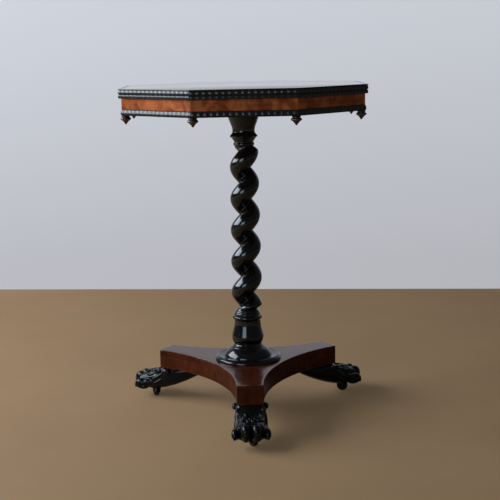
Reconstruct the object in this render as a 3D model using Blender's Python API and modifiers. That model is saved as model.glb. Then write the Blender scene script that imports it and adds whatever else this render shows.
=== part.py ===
"""Octagonal lamp table: a veneered top on a barley-twist column, a three-armed platform and lion-paw feet.

Metres, +Z up. The origin is on the floor under the column's axis, and the front foot points along -Y.
"""

import math

import bmesh
import bpy
from mathutils import Matrix, Vector

# Fits
FIT_GAP = 0.0003  # between pieces that touch
RUNNING_GAP = 0.0004  # round a pin that turns

# Octagonal top
TABLE_HEIGHT = 0.730
SIDES = 8
TOP_ACROSS_FLATS = 0.5236
TOP_THICKNESS = 0.0200
TOP_MOULDING_DEPTH = 0.010
TOP_RIPPLE_HEIGHT = 0.0108  # the upper, rippled band of the top moulding
TOP_RIPPLE_INSET = 0.0005  # band's top below the board's face
TOP_BAND_SETBACK = 0.0025  # the plain lower band behind the crests
RIPPLES_PER_SIDE = 17
RIPPLE_DEPTH = 0.0018
RIPPLE_CREST_SHARE = 0.4  # of a ripple's width that its crest takes
TOP_OVERHANG = 0.0073  # past the frieze, all round
FRIEZE_HEIGHT = 0.0219
FRIEZE_THICKNESS = 0.016
BASE_MOULDING_PROJECTION = 0.00325  # past the frieze
BASE_MOULDING_HEIGHT = 0.0124
BASE_MOULDING_DEPTH = 0.022

# Drop pendants under the corners
PENDANT_DROP = 0.0190
PENDANT_RADIUS = 0.0113
PENDANT_NECK_RADIUS = 0.0086
PENDANT_NECK_HEIGHT = 0.0036
PENDANT_SHOULDER_HEIGHT = 0.0032
PENDANT_TIP_RADIUS = 0.0011
PENDANT_HOLLOW = 0.0009
SPIGOT_RADIUS = 0.004
SPIGOT_LENGTH = 0.008

# Bearer under the top
BEARER_WIDTH = 0.095
BEARER_THICKNESS = 0.0190

# Column
CAPITAL_RADIUS = 0.0412
ABACUS_HEIGHT = 0.004
BELL_HEIGHT = 0.0545
THROAT_RADIUS = 0.0246
CAPITAL_RING_RADIUS = 0.0304
CAPITAL_RING_HEIGHT = 0.0270  # from the throat down to the neck
CAPITAL_NECK_RADIUS = 0.0210
BELL_HOLLOW = 0.0015
THROAT_HOLLOW = 0.0012
NECK_HOLLOW = 0.0008
RING_EDGE = 0.0020
BEAD_HEIGHT = 0.0075
BEAD_SWELL = 0.0020
TWIST_PITCH = 0.070
TWIST_RADIUS_TOP = 0.0316
TWIST_RADIUS_BOTTOM = 0.0350
TWIST_DEPTH = 0.0220
TWIST_RUNOUT = 0.013  # over which the strand rises from a round neck
TWIST_CREST_ANGLE = math.radians(-28.0)  # of the crest at the twist's foot
TWIST_LAP = 0.003  # the strand's end inside the turned collars
COLLAR_HEIGHT = 0.0130
COLLAR_TOP_RADIUS = 0.0215
COLLAR_RADIUS = 0.0292
SOCLE_RING_RADIUS = 0.0333
SOCLE_RING_HEIGHT = 0.0140
VASE_HEIGHT = 0.0520
VASE_NECK_RADIUS = 0.0292
VASE_RADIUS = 0.0356
VASE_WAIST_RADIUS = 0.0306
VASE_BELLY_HEIGHT = 0.0163  # over the waist
VASE_SHOULDER_HOLLOW = 0.0004
VASE_BELLY_SWELL = 0.0014
FLARE_HOLLOW = 0.0008
COLLAR_SWELL = 0.0006
FLARE_HEIGHT = 0.0080
FLARE_RADIUS = 0.0368
TOP_TENON_RADIUS = 0.016
FOOT_TENON_RADIUS = 0.019
WEDGE_WIDTH = 0.0036
WEDGE_POINT = 0.0016
TOP_WEDGE_DEPTH = 0.014
FOOT_WEDGE_DEPTH = 0.022

# Socle disc
DISC_RADIUS = 0.0740
DISC_HEIGHT = 0.0274
DISC_TOP_LEDGE = 0.0009  # of the dome's top round the column's foot
DISC_DOME_SWELL = 0.0020
DISC_RIM_WIDTH = 0.0206  # from the dome's foot to the outer edge
DISC_RIM_HEIGHT = 0.0087  # of the rim's hollow over the platform
DISC_GROOVE_WIDTH = 0.0026  # round the dome's foot
DISC_GROOVE_DEPTH = 0.0009
DISC_LIP_SETBACK = 0.0072  # of the lip's crest from the outer edge
DISC_LIP_RISE = 0.0009  # over the hollow
DISC_ARRIS_SETBACK = 0.0025
DISC_ARRIS_DROP = 0.0021  # below the hollow
DISC_EDGE_SWELL = 0.0006
DISC_FOOT_HEIGHT = 0.0012
DISC_FOOT_CHAMFER = 0.0007

# Platform
PLATFORM_THICKNESS = 0.0426
ARM_LENGTH = 0.221
ARM_END_WIDTH = 0.0565
WAIST_DISTANCE = 0.088  # from the column's axis to the middle of a hollow side
PLATFORM_EDGE_ROUND = 0.0015
ARM_ANGLES = (math.radians(270), math.radians(30), math.radians(150))

# Paw feet
FOOT_HEIGHT = 0.0760  # floor to the platform's underside
PAW_CLEARANCE = 0.0175  # floor to the underside of the toes
TAIL_LENGTH = 0.102  # inward from the arm's end
TAIL_TIP_WIDTH = 0.030
TAIL_TIP_DEPTH = 0.006
ANKLE_WIDTH = 0.0655
TOES_WIDTH = 0.0805
TOE_REACH = 0.0835  # outward from the arm's end
TOE_ROOT_REACH = 0.058
TOE_ROOT_WIDTH = 0.0640
NOSE_LENGTH = 0.006
HEEL_REACH = 0.036
SEAT_ALLOWANCE = 0.007  # over the seat, cut flat under the arm
SEAT_BLEND = 0.012
PAW_SQUARENESS = 0.66  # 1 makes the foot's sections oval, less makes them squarer
UNDERSIDE_CURVE = 1.6
INSTEP_MIDDLE_HEIGHT = 0.0615  # half way from the arm's end to the toes' roots
TAIL_FLARE = 1.6
TOE_LENGTH = 0.043
TOE_TILT = math.radians(10)
TOE_WIDTH = 0.0232  # of the two middle toes
TOE_SPACING = 0.0228  # between their axes
TOE_HEIGHT = 0.039
OUTER_TOE_WIDTH = 0.0176
OUTER_TOE_HEIGHT = 0.031
OUTER_TOE_SETBACK = 0.0135
OUTER_TOE_SPLAY = math.radians(11)
CLAW_LENGTH = 0.012
CLAW_WIDTH = 0.0104
CLAW_HEIGHT = 0.018
CLAW_SETBACK = 0.0025  # of the claw's tip behind the toe's
KNUCKLE_HEIGHT = 0.0565
CURL_LENGTH = 0.030
CURL_RADIUS = 0.0100
CURL_SETBACK = 0.024  # inward from the arm's end
CURL_SPREAD = 0.075  # over both curls
DOWEL_RADIUS = 0.006
DOWEL_DEPTH = 0.017  # into each of the two pieces
DOWEL_SETBACK = 0.046

# Castors
SWIVEL_REACH = 0.029  # the pivot, outward from the arm's end
WHEEL_RADIUS = 0.013
WHEEL_WIDTH = 0.011
WHEEL_HUB_RADIUS = 0.0055
WEB_RECESS = 0.0016
TREAD_ROUND = 0.0012
TRAIL = 0.008
AXLE_RADIUS = 0.0021
CHEEK_THICKNESS = 0.0024
CHEEK_CLEARANCE = 0.0006
CHEEK_BOSS_RADIUS = 0.0050
CHEEK_REAR = 0.0055  # of the cheek's top, behind the pivot
CHEEK_FRONT = 0.0110  # and before it
BRIDGE_CLEARANCE = 0.0030  # over the wheel
BRIDGE_THICKNESS = 0.0030
BRIDGE_RADIUS = 0.0110
PIVOT_RADIUS = 0.0030
RIVET_RADIUS = 0.0042
RIVET_THICKNESS = 0.0014
PLATE_RADIUS = 0.0190
PLATE_THICKNESS = 0.0025
POCKET_CLEARANCE = 0.0016
CASTOR_HEADINGS = (math.radians(-60), math.radians(-20), math.radians(-100))

# Distances across the flats
FRIEZE_ACROSS_FLATS = TOP_ACROSS_FLATS - 2 * TOP_OVERHANG
BASE_MOULDING_ACROSS_FLATS = FRIEZE_ACROSS_FLATS + 2 * BASE_MOULDING_PROJECTION

# Levels
TOP_UNDERSIDE = TABLE_HEIGHT - TOP_THICKNESS
FRIEZE_TOP = TOP_UNDERSIDE - FIT_GAP
FRIEZE_BOTTOM = FRIEZE_TOP - FRIEZE_HEIGHT
BASE_MOULDING_TOP = FRIEZE_BOTTOM - FIT_GAP
BASE_MOULDING_BOTTOM = BASE_MOULDING_TOP - BASE_MOULDING_HEIGHT
BEARER_TOP = TOP_UNDERSIDE - FIT_GAP
BEARER_BOTTOM = BEARER_TOP - BEARER_THICKNESS
COLUMN_HEAD = BEARER_BOTTOM - FIT_GAP
PLATFORM_TOP = FOOT_HEIGHT + PLATFORM_THICKNESS
DISC_BOTTOM = PLATFORM_TOP + FIT_GAP
DISC_TOP = DISC_BOTTOM + DISC_HEIGHT
COLUMN_FOOT = DISC_TOP + FIT_GAP
THROAT_LEVEL = COLUMN_HEAD - ABACUS_HEIGHT - BELL_HEIGHT
CAPITAL_NECK_LEVEL = THROAT_LEVEL - CAPITAL_RING_HEIGHT
CAPITAL_BOTTOM = CAPITAL_NECK_LEVEL - BEAD_HEIGHT
WAIST_LEVEL = COLUMN_FOOT + FLARE_HEIGHT
VASE_NECK_LEVEL = WAIST_LEVEL + VASE_HEIGHT
COLLAR_LEVEL = VASE_NECK_LEVEL + SOCLE_RING_HEIGHT
COLLAR_TOP = COLLAR_LEVEL + COLLAR_HEIGHT
BRIDGE_BOTTOM = 2 * WHEEL_RADIUS + BRIDGE_CLEARANCE
BRIDGE_TOP = BRIDGE_BOTTOM + BRIDGE_THICKNESS
PLATE_BOTTOM = BRIDGE_TOP + RUNNING_GAP
PLATE_TOP = PLATE_BOTTOM + PLATE_THICKNESS
POCKET_CEILING = PLATE_TOP + FIT_GAP
POCKET_RADIUS = math.hypot(TRAIL + WHEEL_RADIUS, WHEEL_WIDTH / 2) + POCKET_CLEARANCE

# Facets
COLUMN_STEPS = 16
DISC_STEPS = 20
PENDANT_STEPS = 10
CASTOR_STEPS = 12
AXLE_STEPS = 8
TWIST_STEPS_PER_TURN = 14
SIDE_ARC_STEPS = 10
MERGE = 0.00001
FLAT_ANGLE = math.radians(0.2)

HALF_SIDE = math.pi / SIDES
TURN = 2 * math.pi


def clear_scene():
    for obj in list(bpy.data.objects):
        bpy.data.objects.remove(obj, do_unlink=True)


def new_collection(name):
    made = bpy.data.collections.new(name)
    bpy.context.scene.collection.children.link(made)
    return made


def new_material(name, colour, roughness, metallic=0.0):
    made = bpy.data.materials.new(name)
    made.use_nodes = True
    shader = made.node_tree.nodes["Principled BSDF"]
    shader.inputs["Base Color"].default_value = (*colour, 1.0)
    shader.inputs["Roughness"].default_value = roughness
    shader.inputs["Metallic"].default_value = metallic
    made.diffuse_color = (*colour, 1.0)
    return made


clear_scene()
PARTS = new_collection("lamp_table")
CUTTERS = new_collection("lamp_table_cutters")
EBONISED = new_material("ebonised_wood", (0.012, 0.011, 0.010), 0.22)
TOP_VENEER = new_material("top_veneer", (0.110, 0.042, 0.018), 0.18)
FRIEZE_VENEER = new_material("frieze_veneer", (0.250, 0.085, 0.028), 0.25)
PLATFORM_VENEER = new_material("platform_veneer", (0.090, 0.028, 0.012), 0.28)
PENDANT_WOOD = new_material("pendant_wood", (0.035, 0.015, 0.010), 0.28)
PLAIN_WOOD = new_material("plain_oak", (0.230, 0.140, 0.075), 0.60)
CASTOR_METAL = new_material("castor_metal", (0.110, 0.080, 0.045), 0.45, 0.9)
AXLE_STEEL = new_material("axle_steel", (0.200, 0.190, 0.180), 0.40, 1.0)

ROOT = bpy.data.objects.new("lamp_table_origin", None)
PARTS.objects.link(ROOT)


def helper(name, mesh):
    """A cutter or a master shape, left out of the finished table."""
    made = bpy.data.objects.new(name, mesh)
    made.hide_render = True
    made.display_type = "WIRE"
    CUTTERS.objects.link(made)
    return made


def part(name, mesh, material, location=(0, 0, 0), angle=0.0, parent=ROOT):
    made = bpy.data.objects.new(name, mesh)
    made.location = location
    made.rotation_euler = (0, 0, angle)
    made.parent = parent
    PARTS.objects.link(made)
    if not mesh.materials:
        mesh.materials.append(material)
    return made


def finished(bm, name):
    """The bmesh as a mesh of its own, welded, facing out and shaded smooth between its edges."""
    bmesh.ops.remove_doubles(bm, verts=bm.verts, dist=MERGE)
    bmesh.ops.recalc_face_normals(bm, faces=bm.faces)
    mesh = bpy.data.meshes.new(name)
    bm.to_mesh(mesh)
    bm.free()
    mesh.shade_smooth()
    mesh.set_sharp_from_angle(angle=math.radians(35))
    return mesh


def baked(source):
    """The evaluated mesh of a helper, which is then removed. Flat faces are merged."""
    bpy.context.view_layer.update()
    graph = bpy.context.evaluated_depsgraph_get()
    raw = bpy.data.meshes.new_from_object(source.evaluated_get(graph))
    name = source.name
    bpy.data.objects.remove(source, do_unlink=True)
    bm = bmesh.new()
    bm.from_mesh(raw)
    bpy.data.meshes.remove(raw)
    bmesh.ops.remove_doubles(bm, verts=bm.verts, dist=MERGE)
    bmesh.ops.dissolve_limit(bm, angle_limit=FLAT_ANGLE, verts=bm.verts, edges=bm.edges)
    return finished(bm, name)


def combine(target, other, operation):
    step = target.modifiers.new(other.name, "BOOLEAN")
    step.operation = operation
    step.solver = "EXACT"
    step.object = other


def turned_mesh(name, profile, steps, closed=False):
    """A profile of (radius, height) points turned about Z. A closed profile makes a ring."""
    bm = bmesh.new()
    points = [bm.verts.new((radius, 0, height)) for radius, height in profile]
    for first, second in zip(points, points[1:]):
        bm.edges.new((first, second))
    if closed:
        bm.edges.new((points[-1], points[0]))
    line = bpy.data.meshes.new(name + "_profile")
    bm.to_mesh(line)
    bm.free()
    source = helper(name, line)
    screw = source.modifiers.new("turn", "SCREW")
    screw.axis = "Z"
    screw.angle = TURN
    screw.steps = steps
    screw.render_steps = steps
    screw.use_merge_vertices = True
    screw.merge_threshold = MERGE
    return baked(source)


def plate_mesh(name, outline, bottom, top):
    """A flat outline given thickness between two levels."""
    curve = bpy.data.curves.new(name + "_outline", "CURVE")
    curve.dimensions = "2D"
    curve.fill_mode = "BOTH"
    curve.extrude = (top - bottom) / 2
    line = curve.splines.new("POLY")
    line.points.add(len(outline) - 1)
    for point, (x, y) in zip(line.points, outline):
        point.co = (x, y, 0, 1)
    line.use_cyclic_u = True
    mesh = baked(helper(name, curve))
    mesh.transform(Matrix.Translation((0, 0, (top + bottom) / 2)))
    return mesh


def cylinder_mesh(name, radius, bottom, top, steps, centre=(0, 0)):
    bm = bmesh.new()
    place = Matrix.Translation((*centre, (bottom + top) / 2))
    bmesh.ops.create_cone(
        bm, cap_ends=True, segments=steps, radius1=radius, radius2=radius, depth=top - bottom, matrix=place
    )
    return finished(bm, name)


def box_mesh(name, low, high):
    bm = bmesh.new()
    middle = [(a + b) / 2 for a, b in zip(low, high)]
    sides = [b - a for a, b in zip(low, high)]
    place = Matrix.Translation(middle) @ Matrix.Diagonal((*sides, 1))
    bmesh.ops.create_cube(bm, size=1, matrix=place)
    return finished(bm, name)


def bow(start, end, swell, count):
    """Points after start and up to end, on a curve that swells from the axis, or hollows if negative."""
    across, along = end[0] - start[0], end[1] - start[1]
    length = math.hypot(across, along)
    points = []
    for index in range(1, count + 1):
        share = index / count
        out = swell * 4 * share * (1 - share)
        radius = start[0] + across * share - along / length * out
        height = start[1] + along * share + across / length * out
        points.append((radius, height))
    return points


def smooth_step(share):
    share = min(max(share, 0.0), 1.0)
    return share * share * (3 - 2 * share)


# Octagonal top


def side_outline(outer, inner, ripples=0):
    """One mitred side in plan, facing +X: outer and inner are distances from the axis to the flats."""
    trim = FIT_GAP / 2 / math.cos(HALF_SIDE)
    valley = outer - RIPPLE_DEPTH if ripples else outer
    half = valley * math.tan(HALF_SIDE) - trim
    inner_half = inner * math.tan(HALF_SIDE) - trim
    outline = [(inner, inner_half), (inner, -inner_half), (valley, -half)]
    width = 2 * half / max(ripples, 1)
    flank = width * (1 - RIPPLE_CREST_SHARE) / 2
    for index in range(ripples):
        start = -half + index * width
        outline += [(outer, start + flank), (outer, start + width - flank), (valley, start + width)]
    if not ripples:
        outline.append((valley, half))
    return outline


def make_top():
    board_flat = TOP_ACROSS_FLATS / 2 - TOP_MOULDING_DEPTH - FIT_GAP
    corner = board_flat / math.cos(HALF_SIDE)
    angles = [HALF_SIDE + index * TURN / SIDES for index in range(SIDES)]
    outline = [(corner * math.cos(angle), corner * math.sin(angle)) for angle in angles]
    part("top_board", plate_mesh("top_board", outline, TOP_UNDERSIDE, TABLE_HEIGHT), TOP_VENEER)


def make_top_moulding():
    outer = TOP_ACROSS_FLATS / 2
    inner = outer - TOP_MOULDING_DEPTH
    band = helper("top_moulding", plate_mesh(
        "top_moulding", side_outline(outer - TOP_BAND_SETBACK, inner), TOP_UNDERSIDE, TABLE_HEIGHT
    ))
    ripple_top = TABLE_HEIGHT - TOP_RIPPLE_INSET
    ripple_root = (inner + outer - TOP_BAND_SETBACK) / 2
    ripple = helper("top_ripple", plate_mesh(
        "top_ripple",
        side_outline(outer, ripple_root, RIPPLES_PER_SIDE),
        ripple_top - TOP_RIPPLE_HEIGHT,
        ripple_top,
    ))
    combine(band, ripple, "UNION")
    strip = baked(band)
    for index in range(SIDES):
        part(f"top_moulding_{index + 1}", strip, EBONISED, angle=index * TURN / SIDES)


def make_frieze():
    outer = FRIEZE_ACROSS_FLATS / 2
    outline = side_outline(outer, outer - FRIEZE_THICKNESS)
    board = plate_mesh("frieze_board", outline, FRIEZE_BOTTOM, FRIEZE_TOP)
    for index in range(SIDES):
        part(f"frieze_board_{index + 1}", board, FRIEZE_VENEER, angle=index * TURN / SIDES)


def pendant_distance():
    """From the table's axis to a pendant, in the middle of the lower moulding's mitre."""
    return (BASE_MOULDING_ACROSS_FLATS / 2 - BASE_MOULDING_DEPTH / 2) / math.cos(HALF_SIDE)


def make_base_moulding():
    outer = BASE_MOULDING_ACROSS_FLATS / 2
    strip = helper("base_moulding", plate_mesh(
        "base_moulding",
        side_outline(outer, outer - BASE_MOULDING_DEPTH, RIPPLES_PER_SIDE),
        BASE_MOULDING_BOTTOM,
        BASE_MOULDING_TOP,
    ))
    for sign in (-1, 1):
        corner = pendant_distance()
        centre = (corner * math.cos(HALF_SIDE), sign * corner * math.sin(HALF_SIDE))
        hole = helper("spigot_hole", cylinder_mesh(
            "spigot_hole",
            SPIGOT_RADIUS + FIT_GAP,
            BASE_MOULDING_BOTTOM - FIT_GAP,
            BASE_MOULDING_BOTTOM + SPIGOT_LENGTH + FIT_GAP,
            PENDANT_STEPS,
            centre,
        ))
        combine(strip, hole, "DIFFERENCE")
    mesh = baked(strip)
    for index in range(SIDES):
        part(f"base_moulding_{index + 1}", mesh, EBONISED, angle=index * TURN / SIDES)


def make_pendants():
    neck_end = (PENDANT_NECK_RADIUS, -PENDANT_NECK_HEIGHT)
    widest = (PENDANT_RADIUS, neck_end[1] - PENDANT_SHOULDER_HEIGHT)
    tip = (PENDANT_TIP_RADIUS, -PENDANT_DROP)
    profile = [(0, SPIGOT_LENGTH), (SPIGOT_RADIUS, SPIGOT_LENGTH), (SPIGOT_RADIUS, -FIT_GAP)]
    profile += [(PENDANT_NECK_RADIUS, -FIT_GAP), neck_end, widest]
    profile += bow(widest, tip, -PENDANT_HOLLOW, 3) + [(0, -PENDANT_DROP)]
    mesh = turned_mesh("pendant", profile, PENDANT_STEPS)
    corner = pendant_distance()
    for index in range(SIDES):
        angle = HALF_SIDE + index * TURN / SIDES
        place = (corner * math.cos(angle), corner * math.sin(angle), BASE_MOULDING_BOTTOM)
        part(f"pendant_{index + 1}", mesh, PENDANT_WOOD, place, angle)


def make_bearer():
    half_length = FRIEZE_ACROSS_FLATS / 2 - FRIEZE_THICKNESS - FIT_GAP
    low = (-half_length, -BEARER_WIDTH / 2, BEARER_BOTTOM)
    high = (half_length, BEARER_WIDTH / 2, BEARER_TOP)
    bearer = helper("top_bearer", box_mesh("top_bearer", low, high))
    mortise = helper("bearer_mortise", cylinder_mesh(
        "bearer_mortise",
        TOP_TENON_RADIUS + FIT_GAP,
        BEARER_BOTTOM - FIT_GAP,
        BEARER_TOP + FIT_GAP,
        COLUMN_STEPS,
    ))
    combine(bearer, mortise, "DIFFERENCE")
    part("top_bearer", baked(bearer), PLAIN_WOOD)


# Column


def twist_radius(share):
    """Radius at a share of half a turn from the crest: a round strand with a tight valley at share 1."""
    mean_crest = (TWIST_RADIUS_TOP + TWIST_RADIUS_BOTTOM) / 2
    return mean_crest - TWIST_DEPTH * (share**2 - share**20 / 10) / 0.9


def twist_mesh():
    """The strand's off-centre section, spun up the column once in every pitch."""
    bottom = COLLAR_TOP - TWIST_LAP
    top = CAPITAL_BOTTOM + TWIST_LAP
    turns = (top - bottom) / TWIST_PITCH
    steps = math.ceil(turns * TWIST_STEPS_PER_TURN)
    rising = [0.18, 0.36, 0.54, 0.70, 0.84, 0.95]
    shares = [0, *rising, 1, *(-share for share in reversed(rising))]
    bm = bmesh.new()
    ring = []
    for share in shares:
        angle = TWIST_CREST_ANGLE + share * math.pi
        radius = twist_radius(abs(share))
        ring.append(bm.verts.new((radius * math.cos(angle), radius * math.sin(angle), bottom)))
    section = bm.faces.new(ring)
    bmesh.ops.spin(
        bm,
        geom=[section, *section.edges, *section.verts],
        cent=(0, 0, 0),
        axis=(0, 0, 1),
        dvec=(0, 0, (top - bottom) / steps),
        angle=turns * TURN,
        steps=steps,
    )
    mean_crest = (TWIST_RADIUS_TOP + TWIST_RADIUS_BOTTOM) / 2
    for vertex in bm.verts:
        height = (vertex.co.z - bottom) / (top - bottom)
        radius = vertex.co.xy.length
        crest = TWIST_RADIUS_BOTTOM + (TWIST_RADIUS_TOP - TWIST_RADIUS_BOTTOM) * height
        neck = COLLAR_TOP_RADIUS if height < 0.5 else CAPITAL_NECK_RADIUS
        rise = smooth_step(min(vertex.co.z - bottom, top - vertex.co.z) / TWIST_RUNOUT)
        wanted = neck - FIT_GAP + (radius * crest / mean_crest - neck + FIT_GAP) * rise
        vertex.co.x *= wanted / radius
        vertex.co.y *= wanted / radius
    return finished(bm, "column")


def capital_mesh():
    tenon_top = BEARER_TOP - FIT_GAP
    abacus = (CAPITAL_RADIUS, COLUMN_HEAD - ABACUS_HEIGHT)
    throat = (THROAT_RADIUS, THROAT_LEVEL)
    ring_level = (THROAT_LEVEL + CAPITAL_NECK_LEVEL) / 2
    ring_over = (CAPITAL_RING_RADIUS, ring_level + RING_EDGE / 2)
    ring_under = (CAPITAL_RING_RADIUS, ring_level - RING_EDGE / 2)
    neck = (CAPITAL_NECK_RADIUS, CAPITAL_NECK_LEVEL)
    bead_end = (CAPITAL_NECK_RADIUS, CAPITAL_BOTTOM)
    profile = [(0, tenon_top), (TOP_TENON_RADIUS, tenon_top), (TOP_TENON_RADIUS, COLUMN_HEAD)]
    profile += [(CAPITAL_RADIUS, COLUMN_HEAD), abacus]
    profile += bow(abacus, throat, -BELL_HOLLOW, 4)
    profile += bow(throat, ring_over, -THROAT_HOLLOW, 2) + [ring_under]
    profile += bow(ring_under, neck, -NECK_HOLLOW, 2)
    profile += bow(neck, bead_end, BEAD_SWELL, 3) + [(0, CAPITAL_BOTTOM)]
    return turned_mesh("capital", profile, COLUMN_STEPS)


def vase_mesh():
    tenon_bottom = FOOT_HEIGHT + FIT_GAP
    collar = (COLLAR_RADIUS, COLLAR_LEVEL)
    ring_level = (COLLAR_LEVEL + VASE_NECK_LEVEL) / 2
    ring_over = (SOCLE_RING_RADIUS, ring_level + RING_EDGE / 2)
    ring_under = (SOCLE_RING_RADIUS, ring_level - RING_EDGE / 2)
    neck = (VASE_NECK_RADIUS, VASE_NECK_LEVEL)
    widest = (VASE_RADIUS, WAIST_LEVEL + VASE_BELLY_HEIGHT)
    waist = (VASE_WAIST_RADIUS, WAIST_LEVEL)
    flare = (FLARE_RADIUS, COLUMN_FOOT)
    profile = [(0, COLLAR_TOP), (COLLAR_TOP_RADIUS, COLLAR_TOP)]
    profile += bow((COLLAR_TOP_RADIUS, COLLAR_TOP), collar, COLLAR_SWELL, 2)
    profile += [ring_over, ring_under, neck]
    profile += bow(neck, widest, -VASE_SHOULDER_HOLLOW, 3)
    profile += bow(widest, waist, VASE_BELLY_SWELL, 3)
    profile += bow(waist, flare, -FLARE_HOLLOW, 2)
    profile += [(FOOT_TENON_RADIUS, COLUMN_FOOT), (FOOT_TENON_RADIUS, tenon_bottom), (0, tenon_bottom)]
    return turned_mesh("vase", profile, COLUMN_STEPS)


def wedge_mesh(name, half_length, mouth, point, spare=0.0):
    """A tapered wedge across a tenon, from its mouth level to its point level."""
    bm = bmesh.new()
    bmesh.ops.create_cube(bm, size=1)
    for vertex in bm.verts:
        at_mouth = vertex.co.z > 0
        width = (WEDGE_WIDTH if at_mouth else WEDGE_POINT) + 2 * spare
        vertex.co.x *= 2 * half_length
        vertex.co.y *= width
        vertex.co.z = mouth if at_mouth else point
    return finished(bm, name)


def make_column():
    column = helper("column", twist_mesh())
    combine(column, helper("capital", capital_mesh()), "UNION")
    combine(column, helper("vase", vase_mesh()), "UNION")
    top_mouth = BEARER_TOP - FIT_GAP
    foot_mouth = FOOT_HEIGHT + FIT_GAP
    ends = (
        ("top_wedge", TOP_TENON_RADIUS, top_mouth, top_mouth - TOP_WEDGE_DEPTH, 1),
        ("foot_wedge", FOOT_TENON_RADIUS, foot_mouth, foot_mouth + FOOT_WEDGE_DEPTH, -1),
    )
    for name, tenon, mouth, point, outward in ends:
        past = outward * FIT_GAP
        slot = wedge_mesh(name + "_slot", tenon + FIT_GAP, mouth + past, point - past, FIT_GAP)
        combine(column, helper(name + "_slot", slot), "DIFFERENCE")
        wedge = wedge_mesh(name, tenon * math.cos(math.pi / COLUMN_STEPS) - FIT_GAP, mouth, point)
        part(name, wedge, PLAIN_WOOD)
    part("column", baked(column), EBONISED)


def make_socle_disc():
    """A sloping dome that stands in a wide, low rim with a raised lip."""
    hollow = DISC_BOTTOM + DISC_RIM_HEIGHT
    bore = FOOT_TENON_RADIUS + FIT_GAP
    crown = (FLARE_RADIUS + DISC_TOP_LEDGE, DISC_TOP)
    dome_foot = (DISC_RADIUS - DISC_RIM_WIDTH, hollow)
    groove = (dome_foot[0] + DISC_GROOVE_WIDTH, hollow - DISC_GROOVE_DEPTH)
    lip = (DISC_RADIUS - DISC_LIP_SETBACK, hollow + DISC_LIP_RISE)
    arris = (DISC_RADIUS - DISC_ARRIS_SETBACK, hollow - DISC_ARRIS_DROP)
    foot = (DISC_RADIUS, DISC_BOTTOM + DISC_FOOT_HEIGHT)
    profile = [(bore, DISC_TOP), crown]
    profile += bow(crown, dome_foot, DISC_DOME_SWELL, 4)
    profile += [groove, lip, arris]
    profile += bow(arris, foot, DISC_EDGE_SWELL, 3)
    profile += [(DISC_RADIUS - DISC_FOOT_CHAMFER, DISC_BOTTOM), (bore, DISC_BOTTOM)]
    part("socle_disc", turned_mesh("socle_disc", profile, DISC_STEPS, closed=True), EBONISED)


# Platform


def platform_outline():
    """Three square arm ends joined by three hollow sides, each one arc."""
    half = ARM_END_WIDTH / 2
    sixth = math.radians(60)
    corner_out = ARM_LENGTH * math.cos(sixth) + half * math.sin(sixth)
    corner_up = ARM_LENGTH * math.sin(sixth) - half * math.cos(sixth)
    sag = corner_out - WAIST_DISTANCE
    radius = (corner_up**2 + sag**2) / (2 * sag)
    sweep = math.asin(corner_up / radius)
    outline = []
    for arm in ARM_ANGLES:
        for index in range(SIDE_ARC_STEPS + 1):
            turn = -sweep + 2 * sweep * index / SIDE_ARC_STEPS
            point = Vector((WAIST_DISTANCE + radius - radius * math.cos(turn), radius * math.sin(turn)))
            point.rotate(Matrix.Rotation(arm + sixth, 2))
            outline.append(tuple(point))
    return outline


def arm_point(angle, distance):
    return distance * math.cos(angle), distance * math.sin(angle)


def make_platform():
    platform = helper("platform", plate_mesh("platform", platform_outline(), FOOT_HEIGHT, PLATFORM_TOP))
    edge = platform.modifiers.new("worn_edges", "BEVEL")
    edge.width = PLATFORM_EDGE_ROUND
    edge.segments = 1
    edge.limit_method = "ANGLE"
    edge.angle_limit = math.radians(40)
    bore = cylinder_mesh(
        "tenon_bore",
        FOOT_TENON_RADIUS + FIT_GAP,
        FOOT_HEIGHT - FIT_GAP,
        PLATFORM_TOP + FIT_GAP,
        COLUMN_STEPS,
    )
    combine(platform, helper("tenon_bore", bore), "DIFFERENCE")
    for index, arm in enumerate(ARM_ANGLES):
        hole = cylinder_mesh(
            f"arm_dowel_hole_{index + 1}",
            DOWEL_RADIUS + FIT_GAP,
            FOOT_HEIGHT - FIT_GAP,
            FOOT_HEIGHT + DOWEL_DEPTH + FIT_GAP,
            CASTOR_STEPS,
            arm_point(arm, ARM_LENGTH - DOWEL_SETBACK),
        )
        combine(platform, helper(hole.name, hole), "DIFFERENCE")
    part("platform", baked(platform), PLATFORM_VENEER)


# Paw feet, modelled pointing along +X


def paw_section(reach):
    """Half width, underside and top of the foot at a distance outward from the arm's end."""
    inward = max(0.0, HEEL_REACH - reach) / (HEEL_REACH + TAIL_LENGTH)
    outward = min(max(0.0, reach) / TOE_ROOT_REACH, 1.0)
    tip_underside = FOOT_HEIGHT - TAIL_TIP_DEPTH
    underside = PAW_CLEARANCE + (tip_underside - PAW_CLEARANCE) * inward**UNDERSIDE_CURVE
    top = FOOT_HEIGHT * (1 - outward) * (1 - 2 * outward) + KNUCKLE_HEIGHT * outward * (2 * outward - 1)
    top += INSTEP_MIDDLE_HEIGHT * 4 * outward * (1 - outward)
    top += SEAT_ALLOWANCE * smooth_step(1 - reach / SEAT_BLEND)
    width = TAIL_TIP_WIDTH + (ANKLE_WIDTH - TAIL_TIP_WIDTH) * smooth_step(TAIL_FLARE * (1 - inward))
    width += (TOE_ROOT_WIDTH - ANKLE_WIDTH) * smooth_step(outward)
    return width / 2, underside, top


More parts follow.
